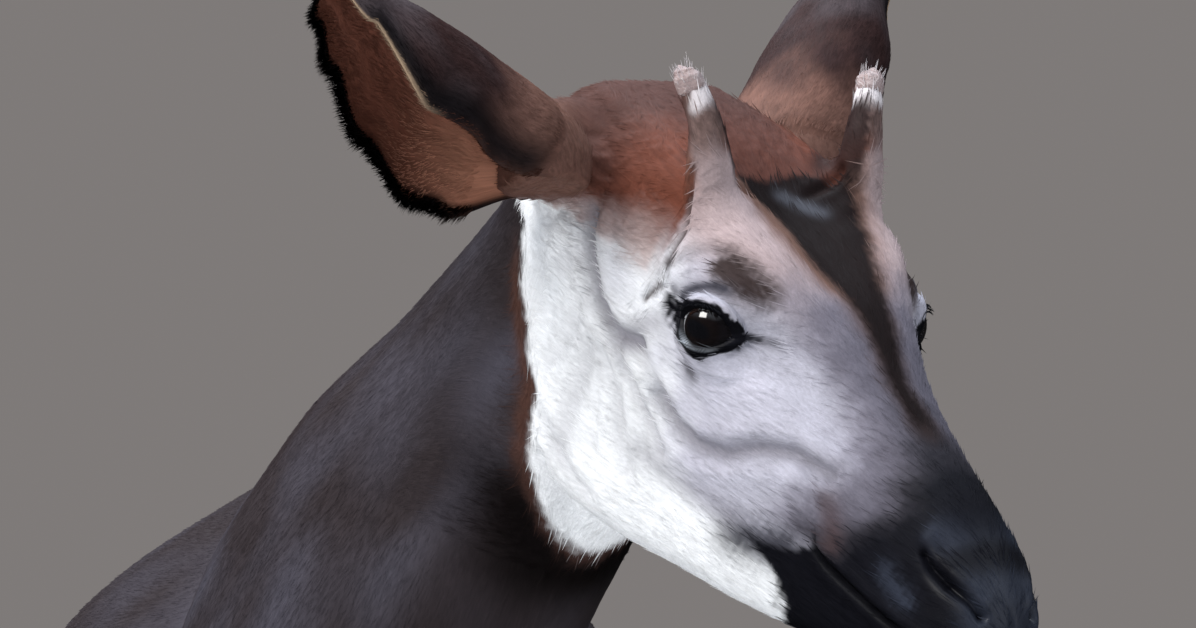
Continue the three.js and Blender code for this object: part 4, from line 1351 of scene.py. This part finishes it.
def coat_piece(name, skin, density, count, length, width, lift, seed):
    """Tufts over a part of the skin. length, width and lift are numbers or functions of place."""
    roots, normals = scattered(skin.data, density, count, seed)
    sizes = [
        size(roots) if callable(size) else np.full(count, float(size))
        for size in (length, width, lift)
    ]
    ways, looks = lie(roots, normals), (markings(roots), unwrap(roots))
    return placed(name, tuft_mesh(name, roots, normals, ways, *sizes, *looks, seed + 1))


def hairy(points):
    """Where the coat grows on the head: not on the nose, the lips, the eyes or the bone."""
    p = sided(to_head(points))
    place, distance = eye_place(p)
    clear_of_eye = np.clip(ramp(eye_gap(place), 2.5, 6) + (distance > 34), 0, 1)
    below_tip = dot(p - OSSICONE_TIP, OSSICONE_AXIS) < -12
    nose = ramp(p[:, 0] + 0.3 * p[:, 2], 376, 398)
    return clear_of_eye * (1 - bareness(points)) * (1 - nose) * below_tip


def face_density(low):
    def density(points):
        x, _, height = to_head(points).T
        here = (height < 12) if low else (height >= 12)
        return hairy(points) * ramp(x, 60, 100) * (height > -150) * here

    return density


def crown_density(points):
    x, _, height = to_head(points).T
    return hairy(points) * (1 - ramp(x, 80, 120)) * ramp(x, -70, -30) * (height > -190)


def neck_density(points):
    ahead = points[:, 0] + 0.9 * (points[:, 2] - 1300)
    return (1 - ramp(to_head(points)[:, 0], -20, 20)) * ramp(ahead, 260, 420)


def body_density(front):
    def density(points):
        share = ramp(points[:, 0], -60, 40)
        off_neck = 1 - region_shares(points)[1]
        return (share if front else 1 - share) * off_neck * ramp(points[:, 2], 700, 860)

    return density


def leg_density(points):
    return (1 - ramp(points[:, 2], 760, 900)) * ramp(points[:, 2], 76, 90)


def shorter(length, points):
    """Hair is shorter by the line in front of the crown, and in the valley round an ossicone."""
    p = sided(to_head(points))
    stem, _, off_axis = by_stem(p)
    by_horn = bell(off_axis - 19, 14) * ramp(stem, -24, -8) * (1 - ramp(stem, 50, 66))
    by_line = bell(line_distance(p[:, [0, 2]], CROWN_LINE), 12)
    return length * (1 - 0.4 * by_line) * (1 - 0.5 * by_horn)


def face_length(points):
    x, _, height = to_head(points).T
    length = 2.9 - 1.6 * ramp(x, 200, 370) - 0.5 * ramp(x, 375, 410)
    return shorter(length + 0.6 * (1 - ramp(height, -110, -70)), points)


def face_width(points):
    return 0.42 - 0.14 * ramp(to_head(points)[:, 0], 290, 370)


def crown_length(points):
    x, _, height = to_head(points).T
    length = 4.0 - 1.0 * ramp(x, 20, 80) + 0.5 * (1 - ramp(height, -110, -60))
    return shorter(length, points)


# Materials: an expression on sockets adds its own nodes


class Wire:
    """A socket that arithmetic can be done on."""

    def __init__(self, work, socket):
        self.work, self.socket = work, socket

    def _math(self, operation, *pair):
        return self.work.node("ShaderNodeMath", {"operation": operation}, dict(enumerate(pair)))

    def __add__(self, other):
        return self._math("ADD", self, other)

    def __sub__(self, other):
        return self._math("SUBTRACT", self, other)

    def __rsub__(self, other):
        return self._math("SUBTRACT", other, self)

    def __mul__(self, other):
        return self._math("MULTIPLY", self, other)


class Finish:
    """A material under construction."""

    def __init__(self, name):
        self.material = bpy.data.materials.new(name)
        self.material.use_nodes = True
        self.tree = self.material.node_tree
        self.tree.nodes.clear()

    def node(self, kind, settings, sockets, out=0):
        made = self.tree.nodes.new(kind)
        for key, value in settings.items():
            setattr(made, key, value)
        for key, value in sockets.items():
            if isinstance(value, Wire):
                self.tree.links.new(value.socket, made.inputs[key])
            else:
                made.inputs[key].default_value = value
        return Wire(self, made.outputs[out])

    def attribute(self, name, out):
        return self.node("ShaderNodeAttribute", {"attribute_name": name}, {}, out)

    def noise(self, vector, scale, detail=2.0, roughness=0.5):
        sockets = {"Scale": scale, "Detail": detail, "Roughness": roughness}
        if vector is not None:
            sockets["Vector"] = vector
        return self.node("ShaderNodeTexNoise", {}, sockets, "Fac")

    def stretched(self, vector, scale):
        return self.node("ShaderNodeVectorMath", {"operation": "MULTIPLY"}, {0: vector, 1: scale})

    def tint(self, base, other, share, blend="MIX"):
        settings = {"data_type": "RGBA", "blend_type": blend}
        return self.node("ShaderNodeMix", settings, {0: share, 6: base, 7: other}, 2)

    def shaded_markings(self, shade):
        grey = self.node("ShaderNodeCombineColor", {}, {0: shade, 1: shade, 2: shade})
        return self.tint(self.attribute("markings", "Color"), grey, 1.0, "MULTIPLY")

    def spread(self, value, low, high, to_low=0.0, to_high=1.0):
        sockets = {0: value, 1: low, 2: high, 3: to_low, 4: to_high}
        return self.node("ShaderNodeMapRange", {"clamp": True}, sockets)

    def bump(self, height, strength, distance):
        sockets = {"Height": height, "Strength": strength, "Distance": distance}
        return self.node("ShaderNodeBump", {}, sockets)

    def done(self, sockets):
        surface = self.node("ShaderNodeBsdfPrincipled", {}, sockets)
        out = self.tree.nodes.new("ShaderNodeOutputMaterial")
        self.tree.links.new(surface.socket, out.inputs["Surface"])
        return self.material


def hide_finish():
    """Skin under a short coat: streaks along the lie of the hair, bare and moist at the nose."""
    f = Finish("short_coat")
    combed = f.attribute("comb", "Vector")
    bare = f.attribute("bare", "Fac")
    streaks = f.noise(f.stretched(combed, (0.10, 1.0, 1.0)), 0.62, 3.0, 0.6)
    clumps = f.noise(f.stretched(combed, (0.05, 0.24, 0.24)), 0.5, 2.0)
    pebbles = f.noise(combed, 0.9, 3.0, 0.65)
    shade = f.spread(streaks, 0.3, 0.7, 0.86, 1.12) * f.spread(clumps, 0.3, 0.7, 0.93, 1.06)
    rough = f.spread(streaks, 0.3, 0.7, 0.52, 0.68) - bare * 0.24 + bare * pebbles * 0.12
    height = (1 - bare) * (streaks * 0.7 + clumps * 0.5) + bare * pebbles * 0.9
    return f.done(
        {
            "Base Color": f.shaded_markings(shade),
            "Roughness": rough,
            "Normal": f.bump(height, 0.5, 0.0009),
            "Specular IOR Level": 0.05,
            "Coat Weight": bare * 0.34,
            "Coat Roughness": 0.34,
        }
    )


def tuft_finish():
    f = Finish("coat_hair")
    grain = f.noise(None, 900.0)
    return f.done(
        {
            "Base Color": f.shaded_markings(f.spread(grain, 0.3, 0.7, 0.9, 1.1)),
            "Roughness": f.spread(grain, 0.2, 0.8, 0.49, 0.65),
            "Specular IOR Level": 0.05,
        }
    )


def eye_finish():
    """Dark wet eye with a brown iris round a wide level pupil."""
    f = Finish("wet_eye")
    threads = f.noise(f.attribute("comb", "Vector"), 1.4, 3.0)
    return f.done(
        {
            "Base Color": f.shaded_markings(f.spread(threads, 0.3, 0.7, 0.7, 1.25)),
            "Roughness": f.spread(threads, 0.2, 0.8, 0.07, 0.12),
            "Coat Weight": f.spread(threads, 0.0, 1.0, 0.95, 1.0),
            "Coat Roughness": 0.02,
            "Specular IOR Level": 0.5,
        }
    )


def bone_finish():
    f = Finish("worn_bone")
    place = f.attribute("comb", "Vector")
    grain = f.noise(f.stretched(place, (0.25, 1.0, 1.0)), 0.9, 4.0, 0.65)
    pits = f.noise(place, 0.35)
    colour = f.attribute("markings", "Color")
    colour = f.tint(colour, (0.36, 0.26, 0.23, 1), f.spread(pits, 0.54, 0.7, 0.0, 0.4))
    colour = f.tint(colour, (0.9, 0.86, 0.84, 1), f.spread(grain, 0.56, 0.72, 0.0, 0.6))
    return f.done(
        {
            "Base Color": colour,
            "Roughness": f.spread(grain, 0.3, 0.7, 0.38, 0.6),
            "Normal": f.bump(grain + pits, 0.7, 0.0014),
        }
    )


def hoof_finish():
    f = Finish("horn_hoof")
    place = f.attribute("comb", "Vector")
    rings = f.noise(f.stretched(place, (0.02, 0.02, 0.6)), 0.4, 3.0)
    threads = f.noise(f.stretched(place, (0.9, 0.9, 0.05)), 0.9, 3.0)
    dust = f.noise(place, 0.06, 3.0)
    dark, pale = (0.030, 0.024, 0.022, 1), (0.10, 0.08, 0.066, 1)
    colour = f.tint(dark, pale, f.spread(threads, 0.35, 0.75))
    colour = f.tint(colour, (0.19, 0.165, 0.14, 1), f.spread(dust, 0.52, 0.75, 0.0, 0.5))
    return f.done(
        {
            "Base Color": colour,
            "Roughness": f.spread(rings, 0.3, 0.7, 0.34, 0.56),
            "Normal": f.bump(rings + threads * 0.3, 0.6, 0.0012),
        }
    )


# Pieces


def finished(thing, material, slot_name, *nodes):
    thing.data.materials.clear()
    thing.data.materials.append(material)
    for face in thing.data.polygons:
        face.use_smooth = True
    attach(thing, "root")
    if nodes:
        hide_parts(*nodes)


EAR_BACK = np.array([0.036, 0.018, 0.017])
EAR_BACK_GREY = np.array([0.062, 0.048, 0.052])
EAR_RED = np.array([0.140, 0.050, 0.032])
EAR_PINK_LIT = np.array([0.60, 0.28, 0.18])
EAR_CUP_SHADOW = np.array([0.030, 0.012, 0.008])
EAR_CREAM = np.array([0.46, 0.33, 0.22])
EAR_BLACK = np.array([0.006, 0.005, 0.006])
EAR_SPAN = 90  # how much of the patterns the ear's width takes
EAR_BACK_INSET = 0.4


def ear_colours(t, v, inner):
    """v runs from the front margin, -1, to the rear one, 1."""
    spots = np.stack([t * EAR_LENGTH, v * EAR_SPAN, 30.0 * inner], axis=1)
    uneven = wobble(spots, 60, 12)
    hair = wobble(spots * np.array([0.3, 1.0, 1.0]), 7, 13)
    back = Layers(EAR_BACK, len(t))
    back.lay(EAR_BACK_GREY, ramp(t + 0.1 * uneven, 0.6, 0.95))
    foot = EAR_FOOT * (1.15 + 0.35 * ramp(t - ear_opens(v), 0.02, 0.16))[:, None]
    back.lay(foot, 1 - ramp(t + 0.06 * uneven + 0.12 * v, 0.28, 0.56))
    # Painted shade: black just behind the front margin on the outer face, where the ear rolls over
    front_edge = bell(v + 0.92, 0.13) * ramp(t, 0.3, 0.42) * (1 - ramp(t, 0.86, 1))
    back.lay(EAR_BLACK, 0.94 * front_edge)
    cup = Layers(EAR_RED, len(t))
    # Pink of the cup, partly its own colour and partly painted light where the cup faces up towards
    # the rear margin
    cup.lay(EAR_PINK_LIT, ramp(v + 0.1 * uneven, 0.1, 0.85) * (1 - ramp(t, 0.26, 0.56)))
    # Painted shadow of the cup along its front fold
    cup.lay(EAR_CUP_SHADOW, 0.85 * bell(v + 0.95, 0.42) * (1 - ramp(t, 0.5, 0.8)))
    ear = Layers(EAR_BACK, len(t))
    ear.colour = mix(back.colour, cup.colour, inner) * (1 + 0.16 * hair)[:, None]
    # Cream along the front margin, black along the rear one
    inside = inner > 0.5
    cream = ramp(-v, np.where(inside, 0.92, 0.96), np.where(inside, 0.97, 0.99))
    ear.lay(EAR_CREAM, cream * ramp(t, 0.66, 0.78) * np.where(inside, 1.0, 0.8))
    ear.lay(EAR_BLACK, ramp(v + 0.03 * uneven, 0.86, 0.96) * ramp(t, 0.1, 0.24))
    return ear.colour


def make_ear(name, side, material):
    """A thin sheet with two faces, which grows out of the skin of the head."""
    point = ear_form(EAR_POSES[name], side)
    shares, v = np.meshgrid(np.linspace(0, 1, 73), np.linspace(-1, 1, 55), indexing="ij")
    start = ear_opens(v) - 0.07
    t = start + (1 - start) * shares
    sunk = 3.4 * (1 - ramp(t - start, 0.02, 0.1))
    thin = EAR_THICKNESS * (1 - 0.55 * np.abs(v) ** 4)
    ruffle = 0.8 * np.sin(v * 17 + 5 * t) * ramp(t, 0.1, 0.3) * (1 - np.abs(v)) ** 0.5
    outer = point(t, v, EAR_BACK_INSET + sunk)
    inner = point(t, v, thin + ruffle + sunk)[:, ::-1]
    rows = np.concatenate([outer, inner], axis=1)
    count = rows.shape[1]
    faces = ring_faces(len(rows), count)
    for first, flip in ((0, True), ((len(rows) - 1) * count, False)):
        for k in range(count // 2 - 1):
            face = [first + n for n in (k, k + 1, count - 2 - k, count - 1 - k)]
            faces.append(face[::-1] if flip else face)
    label = "ear_" + name
    ear = new_object(label, rows.reshape(-1, 3), turned(faces) if side > 0 else faces)
    face_outward(ear.data)
    t, v = np.concatenate([t, t], axis=1).ravel(), np.concatenate([v, v[:, ::-1]], axis=1).ravel()
    inside = np.repeat([[0.0, 1.0]], len(rows), axis=0).repeat(count // 2, axis=1).ravel()
    paint(ear.data, ear_colours(t, v, inside))
    set_comb(ear.data, np.stack([t * EAR_LENGTH, v * EAR_SPAN, inside * 20], axis=1))
    set_bare(ear.data, 0 * inside)
    finished(ear, material, "ear_skin", label)


# The hair of an ear: count, range along, range across, length, width, lift, bend
EAR_HAIR = {
    "back": (13000, (0.08, 0.985), (-0.99, 0.99), 4.5, 0.5, 0.12, 0.0),
    "cup": (9000, (0.16, 0.985), (-0.98, 0.98), 6.0, 0.5, 0.16, 0.0),
    "rear_fringe": (3000, (0.15, 0.99), (0.93, 1.0), 11.0, 0.5, 0.3, 0.12),
    "front_fringe": (1800, (0.3, 0.99), (-1.0, -0.95), 5.0, 0.45, 0.3, 0.12),
}


def ear_coat(name, side, material, seed):
    """Short hair on both faces of an ear, and fringes along its margins."""
    point = ear_form(EAR_POSES[name], side)
    draw = np.random.default_rng(seed)
    step = 0.004
    for label, (count, t_range, v_range, length, width, lift, bend) in EAR_HAIR.items():
        t, v = draw.uniform(*t_range, count), draw.uniform(*v_range, count)
        keep = t > ear_opens(v) - 0.02
        t, v = t[keep], v[keep]
        count = len(t)
        in_cup, fringe = label == "cup", label.endswith("fringe")
        inset = np.full(count, EAR_THICKNESS if in_cup else EAR_BACK_INSET)
        here = point(t, v, inset)
        after, before = (np.clip(t + d, 0, 1) for d in (step, -step))
        way = ahead = unit(point(after, v, inset) - point(before, v, inset))
        after, before = (np.clip(v + d, -1, 1) for d in (step, -step))
        aside = unit(point(t, after, inset) - point(t, before, inset))
        inward = unit(point(t, v, inset + 2.0) - here)
        if label == "rear_fringe":
            way = unit(0.9 * ahead + 1.0 * aside)
        elif label == "front_fringe":
            way = unit(1.0 * ahead - 0.35 * aside + 0.2 * inward)
        elif in_cup:
            way = unit(ahead + (0.6 * np.sign(v) * ramp(np.abs(v), 0.2, 0.9))[:, None] * aside)
        if fringe:
            here = here + inward * draw.uniform(0, EAR_THICKNESS, (count, 1))
        inner = np.full(count, 1.0 if in_cup else 0.0)
        colours = ear_colours(t, v, inner + (label == "front_fringe"))
        places = np.stack([0.05 + 0.4 * inner + 0.2 * (v + 1), 0.05 + 0.9 * t], axis=1)
        lengths = length * (0.55 + 0.45 * np.sin(math.pi * t) ** 0.5)
        sizes = lengths, np.full(count, width), np.full(count, lift)
        normals = inward if in_cup else -inward
        label = "ear_coat_%s_%s" % (label, name)
        mesh = tuft_mesh(label, here, normals, way, *sizes, colours, places, seed + 7, bend)
        finished(placed(label, mesh), material, "ear_skin")


EYE_DARK = np.array([0.006, 0.004, 0.004])
EYE_PUPIL = [0.003, 0.003, 0.004]
EYE_RING = [0.006, 0.005, 0.006]
EYE_WHITE = [0.030, 0.026, 0.028]


def make_eye(name, side, material):
    """An eyeball with a clear bulge over the iris."""
    polar = np.linspace(0.012, math.pi - 0.012, 60)[:, None]
    angle = turns(80)[None, :]
    radius = EYE_RADIUS - 0.4 - 0.7 * ramp(polar, 0.5, 0.8)
    rows = (
        (radius * np.cos(polar) + 0 * angle)[..., None] * eye_out
        + (radius * np.sin(polar) * np.cos(angle))[..., None] * eye_forward
        + (radius * np.sin(polar) * np.sin(angle))[..., None] * eye_up
    )
    points, faces = closed_shell(rows + EYE_CENTRE)
    label = "eye_" + name
    eye = new_object(label, from_head(to_side(points, side)), faces)
    face_outward(eye.data)
    ahead, up, out = (dot(points - EYE_CENTRE, way) for way in (eye_forward, eye_up, eye_out))
    iris = np.hypot(ahead, up)
    coat = Layers(EYE_DARK, len(points))
    coat.lay(EYE_PUPIL, 1 - ramp(np.hypot(ahead / 9.5, up / 5.5), 0.85, 1.1))
    coat.lay(EYE_RING, ramp(iris, 12.5, 14.5))
    coat.lay(EYE_WHITE, ramp(iris, 17.5, 20) * (out > 0))
    paint(eye.data, coat.colour)
    round_iris = np.arctan2(up, ahead)
    threads = [np.cos(round_iris) * 14, np.sin(round_iris) * 14, iris * 0.15]
    set_comb(eye.data, np.stack(threads, axis=1))
    finished(eye, material, "eye", label)


BONE_RADII = [[0, 4.6], [0.2, 6.8], [0.42, 8.9], [0.66, 8.9], [0.87, 6.4], [1, 1.6]]


def make_bone_tip(name, side, material):
    """The bare end of an ossicone: worn, blunt and a little swollen."""
    shares = np.linspace(0, 1, 35)
    centres = spline(ossicone_path(), BARE_FROM + (1 - BARE_FROM) * shares)
    low, axis = centres[0], unit(centres[-1] - centres[0])
    angle = turns(48)
    lumps = 1 + 0.06 * np.sin(3 * angle + 1.3)[None]
    lumps = lumps + 0.03 * np.sin(7 * angle + shares[:, None] * 9)
    radius = along(BONE_RADII, shares)[:, None] * lumps
    slant = 1.4 * np.cos(angle + 0.8)[None] * ramp(shares, 0.6, 1)[:, None]
    rows = centres[:, None] - slant[..., None] * axis
    points, faces = closed_shell(rows + radius[..., None] * rounds_about(centres, angle))
    label = "ossicone_tip_" + name
    faces = faces if side > 0 else turned(faces)
    tip = new_object(label, from_head(to_side(points, side)), faces)
    face_outward(tip.data)
    local = points - low
    up = dot(local, axis)
    worn = ramp(local[:, 0] - 0.6 * local[:, 1] + 0.9 * up, 6, 16)
    paint(tip.data, mix(np.tile(SHAFT * 2.4, (len(local), 1)), BONE, 0.25 + 0.75 * worn))
    set_comb(tip.data, np.stack([up, local[:, 1], local[:, 2]], axis=1))
    finished(tip, material, "bare_bone", label)


def hoof_shell(x, y):
    """One toe: upright growth, a rounded toe and a level sole."""
    angle = turns(56)
    cos, sin = np.cos(angle), np.sin(angle)
    pinch = np.where(cos > 0, 1 - 0.35 * cos**2, 1)
    rows = []
    for height in (0, 1.5, 8, 22, 38, 52, 62, 67.5):
        share = height / (CORONET_HEIGHT - 6)
        sole = 1.6 if height == 0 else 0
        length = HOOF_LENGTH * (1 - 0.32 * share) - 1.6 - sole
        width = HOOF_WIDTH * (1 - 0.14 * share) - 1.4 - sole
        wave = 0.4 * np.sin(height * 0.7) * (0.3 + cos**2)
        ahead = x + cos * length / 2 + (12 - 16 * share) - 0.3 + wave * 0.5
        rows.append(np.stack([ahead, y + sin * width * pinch / 2, height + 0 * angle], axis=1))
    points, faces = closed_shell(spline(np.stack(rows), np.linspace(0, 1, 40)))
    points[:, 2] = np.maximum(points[:, 2], 0)
    return points, faces


def make_hooves(material):
    for name, side in SIDES:
        for leg, stations in (("fore", FORELEG), ("hind", HINDLEG)):
            _, x, *_, y = stations[-1]
            for toe, sign in (("inner", -1), ("outer", 1)):
                across = side * (y + sign * (HOOF_WIDTH + CLEFT) / 2)
                points, faces = hoof_shell(x + STRIDES[leg + "_" + name], across)
                label = "%shoof_%s_%s" % (leg, toe, name)
                hoof = new_object(label, points, faces)
                set_comb(hoof.data, points - np.array([x, across, 0]))
                finished(hoof, material, "hoof", label)


def make_tail_tuft(material):
    """Long black hair from the end of the dock, in fine tapered locks."""
    draw = np.random.default_rng(31)
    root = np.array([-755, 0, 1000.0])
    shells, colours = [], []
    for _ in range(150):
        angle = draw.uniform(0, 2 * math.pi)
        out = np.array([math.cos(angle), math.sin(angle), 0])
        start = root + out * draw.uniform(2, 9) + np.array([0, 0, draw.uniform(-34, 30)])
        reach, spread = draw.uniform(95, 165), draw.uniform(5, 20)
        sway = draw.normal(0, 2.5, (4, 3))
        path = [
            start,
            start + out * spread + [0, 0, -0.35 * reach],
            start + out * spread * 1.1 + [0, 0, -0.7 * reach],
            start + out * spread * draw.uniform(0.4, 0.9) + [0, 0, -reach],
        ]
        thick = draw.uniform(1.3, 2.6)
        radii = [[0, thick * 0.6], [0.3, thick], [0.75, thick * 0.7], [1, 0.2]]
        shells.append(tapered_tube(np.array(path) + sway, radii, 10, 5))
        tone = draw.uniform(0.6, 1.6)
        colours.append(np.tile(np.array([0.014, 0.011, 0.011]) * tone, (len(shells[-1][0]), 1)))
    points, faces = gathered(shells)
    tuft = new_object("tail_tuft", in_box(points), faces)
    paint(tuft.data, np.vstack(colours))
    finished(tuft, material, "tail_hair", "tail_tuft")


def lash_shells(draw):
    """Dark lashes along the upper lid."""
    edge = lid_edge(LID_UPPER_RISE, 60)
    shells = []
    for _ in range(56):
        k = draw.integers(8, 40)
        place = edge[k] + draw.normal(0, 0.4, 2)
        arc = np.hypot(*place)
        angle = arc / EYE_RADIUS
        aside = (eye_forward * place[0] + eye_up * place[1]) / max(arc, 1e-6)
        way = eye_out * math.cos(angle) + aside * math.sin(angle)
        start = EYE_CENTRE + way * (EYE_RADIUS + 1.4)
        length = draw.uniform(4, 8) * (0.6 + 0.4 * math.sin(math.pi * k / 60))
        reach = way * 0.75 + eye_forward * 0.35 - eye_up * 0.25
        tip = start + reach * length * 0.9 + eye_forward * 1.5 - eye_up * 0.9
        path = np.array([start, start + reach * length * 0.5, tip])
        shells.append(tapered_tube(path, [[0, 0.36], [0.6, 0.26], [1, 0.06]], 6, 4))
    return shells


def wisp_shells(draw):
    """Long hair round the tip of an ossicone."""
    shells = []
    for _ in range(64):
        out = unit(np.cross(OSSICONE_AXIS, draw.normal(size=3)))
        share = draw.uniform(0.84, 0.99)
        off_middle = 8.0 * math.sqrt(1 - ((share - 0.8) / 0.21) ** 2)
        start = spline(ossicone_path(), share)[0] + out * off_middle
        way = unit(OSSICONE_AXIS + out * draw.uniform(0, 0.45) + draw.normal(0, 0.15, 3))
        length = draw.uniform(4, 10)
        path = [start - way * 2, start + way * length * 0.5 + out * 0.5, start + way * length]
        shells.append(tapered_tube(np.array(path), [[0, 0.3], [0.5, 0.2], [1, 0.05]], 6, 4))
    return shells


def make_fine_hair(material):
    draw = np.random.default_rng(51)
    for name, side in SIDES:
        for label, shells_of in (("eyelashes_", lash_shells), ("ossicone_wisp_", wisp_shells)):
            shells = shells_of(draw)
            points, faces = gathered(shells)
            piece = new_object(label + name, from_head(to_side(points, side)), faces)
            colours = np.tile(LID_BLACK, (len(points), 1))
            if shells_of is wisp_shells:
                tones = np.repeat(draw.uniform(0.6, 1.0, len(shells)), len(shells[0][0]))
                colours = BONE * 0.9 * tones[:, None]
            paint(piece.data, colours)
            finished(piece, material, "hide_dark")


skin_material = hide_finish()
hair_material = tuft_finish()
skin = make_skin()
skin_points = mesh_points(skin.data)
paint(skin.data, markings(skin_points))
set_comb(skin.data, comb(skin_points))
set_bare(skin.data, bareness(skin_points))
flesh_nodes = ["head", "neck_upper", "neck_lower", "torso", "tail"]
for name, _ in SIDES:
    flesh_nodes += ["ossicone_" + name]
    for leg in ("fore", "hind"):
        flesh_nodes += ["%sleg_%s_%s" % (leg, part, name) for part in ("upper", "lower")]
finished(skin, skin_material, "hide_dark", *flesh_nodes)

eye_material, bone_material = eye_finish(), bone_finish()
for name, side in SIDES:
    make_ear(name, side, skin_material)
    ear_coat(name, side, hair_material, 60 + side)
    make_eye(name, side, eye_material)
    make_bone_tip(name, side, bone_material)
make_hooves(hoof_finish())
make_tail_tuft(hair_material)
make_fine_hair(hair_material)

# The coat: name, density, count, length, width, lift, seed
for name, *make in (
    ("coat_face_low", face_density(True), 45000, face_length, face_width, 0.1, 101),
    ("coat_face_high", face_density(False), 45000, face_length, face_width, 0.1, 102),
    ("coat_crown", crown_density, 48000, crown_length, 0.5, 0.11, 103),
    ("coat_neck", neck_density, 48000, 9.0, 0.8, 0.11, 105),
    ("coat_body_front", body_density(True), 42000, 12.0, 1.3, 0.1, 107),
    ("coat_body_rear", body_density(False), 42000, 12.0, 1.4, 0.1, 109),
    ("coat_legs", leg_density, 34000, 7.0, 0.9, 0.12, 111),
):
    finished(coat_piece(name, skin, *make), hair_material, "hide_dark")


# Floor, light and camera

FLOOR_REACH = 9000
CAMERA_AIM = Vector((0.6138, 0.0705, 1.6121))
CAMERA_AZIMUTH, CAMERA_ELEVATION = math.radians(84), math.radians(0.5)
CAMERA_DISTANCE = 6.0
VIEW_WIDTH = 0.7667  # at the aim
SENSOR_WIDTH = 36.0


def make_floor():
    corners = [(-1, -1), (1, -1), (1, 1), (-1, 1)]
    points = [[x * FLOOR_REACH, y * FLOOR_REACH, -1.0] for x, y in corners]
    floor = new_object("floor", points, [[0, 1, 2, 3]])
    f = Finish("pale_floor")
    colour = f.tint((0.74, 0.73, 0.71, 1), (0.78, 0.77, 0.75, 1), f.noise(None, 3.0))
    floor.data.materials.append(f.done({"Base Color": colour, "Roughness": 0.85}))
    floor.visible_glossy = False


def area_light(name, place, aim, size, power, colour, mirrored=True):
    light = bpy.data.lights.new(name, "AREA")
    light.energy, light.size, light.color = power, size, colour
    lamp = placed(name, light)
    lamp.location = place
    lamp.visible_glossy = mirrored
    lamp.rotation_euler = (Vector(aim) - Vector(place)).to_track_quat("-Z", "Y").to_euler()


def make_camera():
    """The photograph's view: nearly level, from ahead of the right shoulder."""
    level = math.cos(CAMERA_ELEVATION)
    x, y = math.sin(CAMERA_AZIMUTH) * level, -math.cos(CAMERA_AZIMUTH) * level
    away = Vector((x, y, math.sin(CAMERA_ELEVATION)))
    data = bpy.data.cameras.new("camera")
    data.sensor_width = SENSOR_WIDTH
    data.lens = SENSOR_WIDTH * CAMERA_DISTANCE / VIEW_WIDTH
    data.clip_end = 60
    camera = placed("camera", data)
    camera.location = CAMERA_AIM + away * CAMERA_DISTANCE
    camera.rotation_euler = (-away).to_track_quat("-Z", "Y").to_euler()
    bpy.context.scene.camera = camera


def make_world():
    """Cool soft light. Reflections see it only above; the camera sees a plain warm grey."""
    world = bpy.data.worlds.new("studio")
    world.use_nodes = True
    tree = world.node_tree
    link, node = tree.links.new, tree.nodes.new

    def background(colour, strength):
        made = node("ShaderNodeBackground")
        made.inputs["Color"].default_value = (*colour, 1)
        made.inputs["Strength"].default_value = strength
        return made

    def mixed(share, first, second):
        made = node("ShaderNodeMixShader")
        for i, socket in enumerate((share, first.outputs[0], second.outputs[0])):
            link(socket, made.inputs[i])
        return made

    soft = background((0.80, 0.86, 0.97), 0.46)
    low, high = background((0.05, 0.05, 0.05), 0.3), background((0.80, 0.88, 1.0), 0.9)
    split, rise = node("ShaderNodeSeparateXYZ"), node("ShaderNodeMapRange")
    link(node("ShaderNodeTexCoord").outputs["Generated"], split.inputs[0])
    link(split.outputs["Z"], rise.inputs["Value"])
    rise.inputs["From Min"].default_value, rise.inputs["From Max"].default_value = 0.35, 0.9
    path = node("ShaderNodeLightPath")
    seen = mixed(path.outputs["Is Glossy Ray"], soft, mixed(rise.outputs[0], low, high))
    backdrop = background((0.21, 0.195, 0.19), 1.0)
    seen = mixed(path.outputs["Is Camera Ray"], seen, backdrop)
    link(seen.outputs[0], tree.nodes["World Output"].inputs["Surface"])
    bpy.context.scene.world = world


make_floor()
make_world()
bpy.context.scene.view_settings.view_transform = "Standard"
area_light("key", (2.6, -3.0, 4.6), (0.6, 0, 1.3), 2.2, 176, (1.0, 0.98, 0.96))
area_light("top", (-0.4, -0.6, 5.0), (0.2, 0, 1.2), 4.0, 235, (0.86, 0.92, 1.0))
area_light("fill", (3.0, 3.4, 2.6), (0.5, 0, 1.3), 3.0, 30, (0.92, 0.95, 1.0))
area_light("front", (5.6, -2.4, 1.0), (0.6, 0, 1.6), 2.6, 34, (0.95, 0.97, 1.0), mirrored=False)
make_camera()
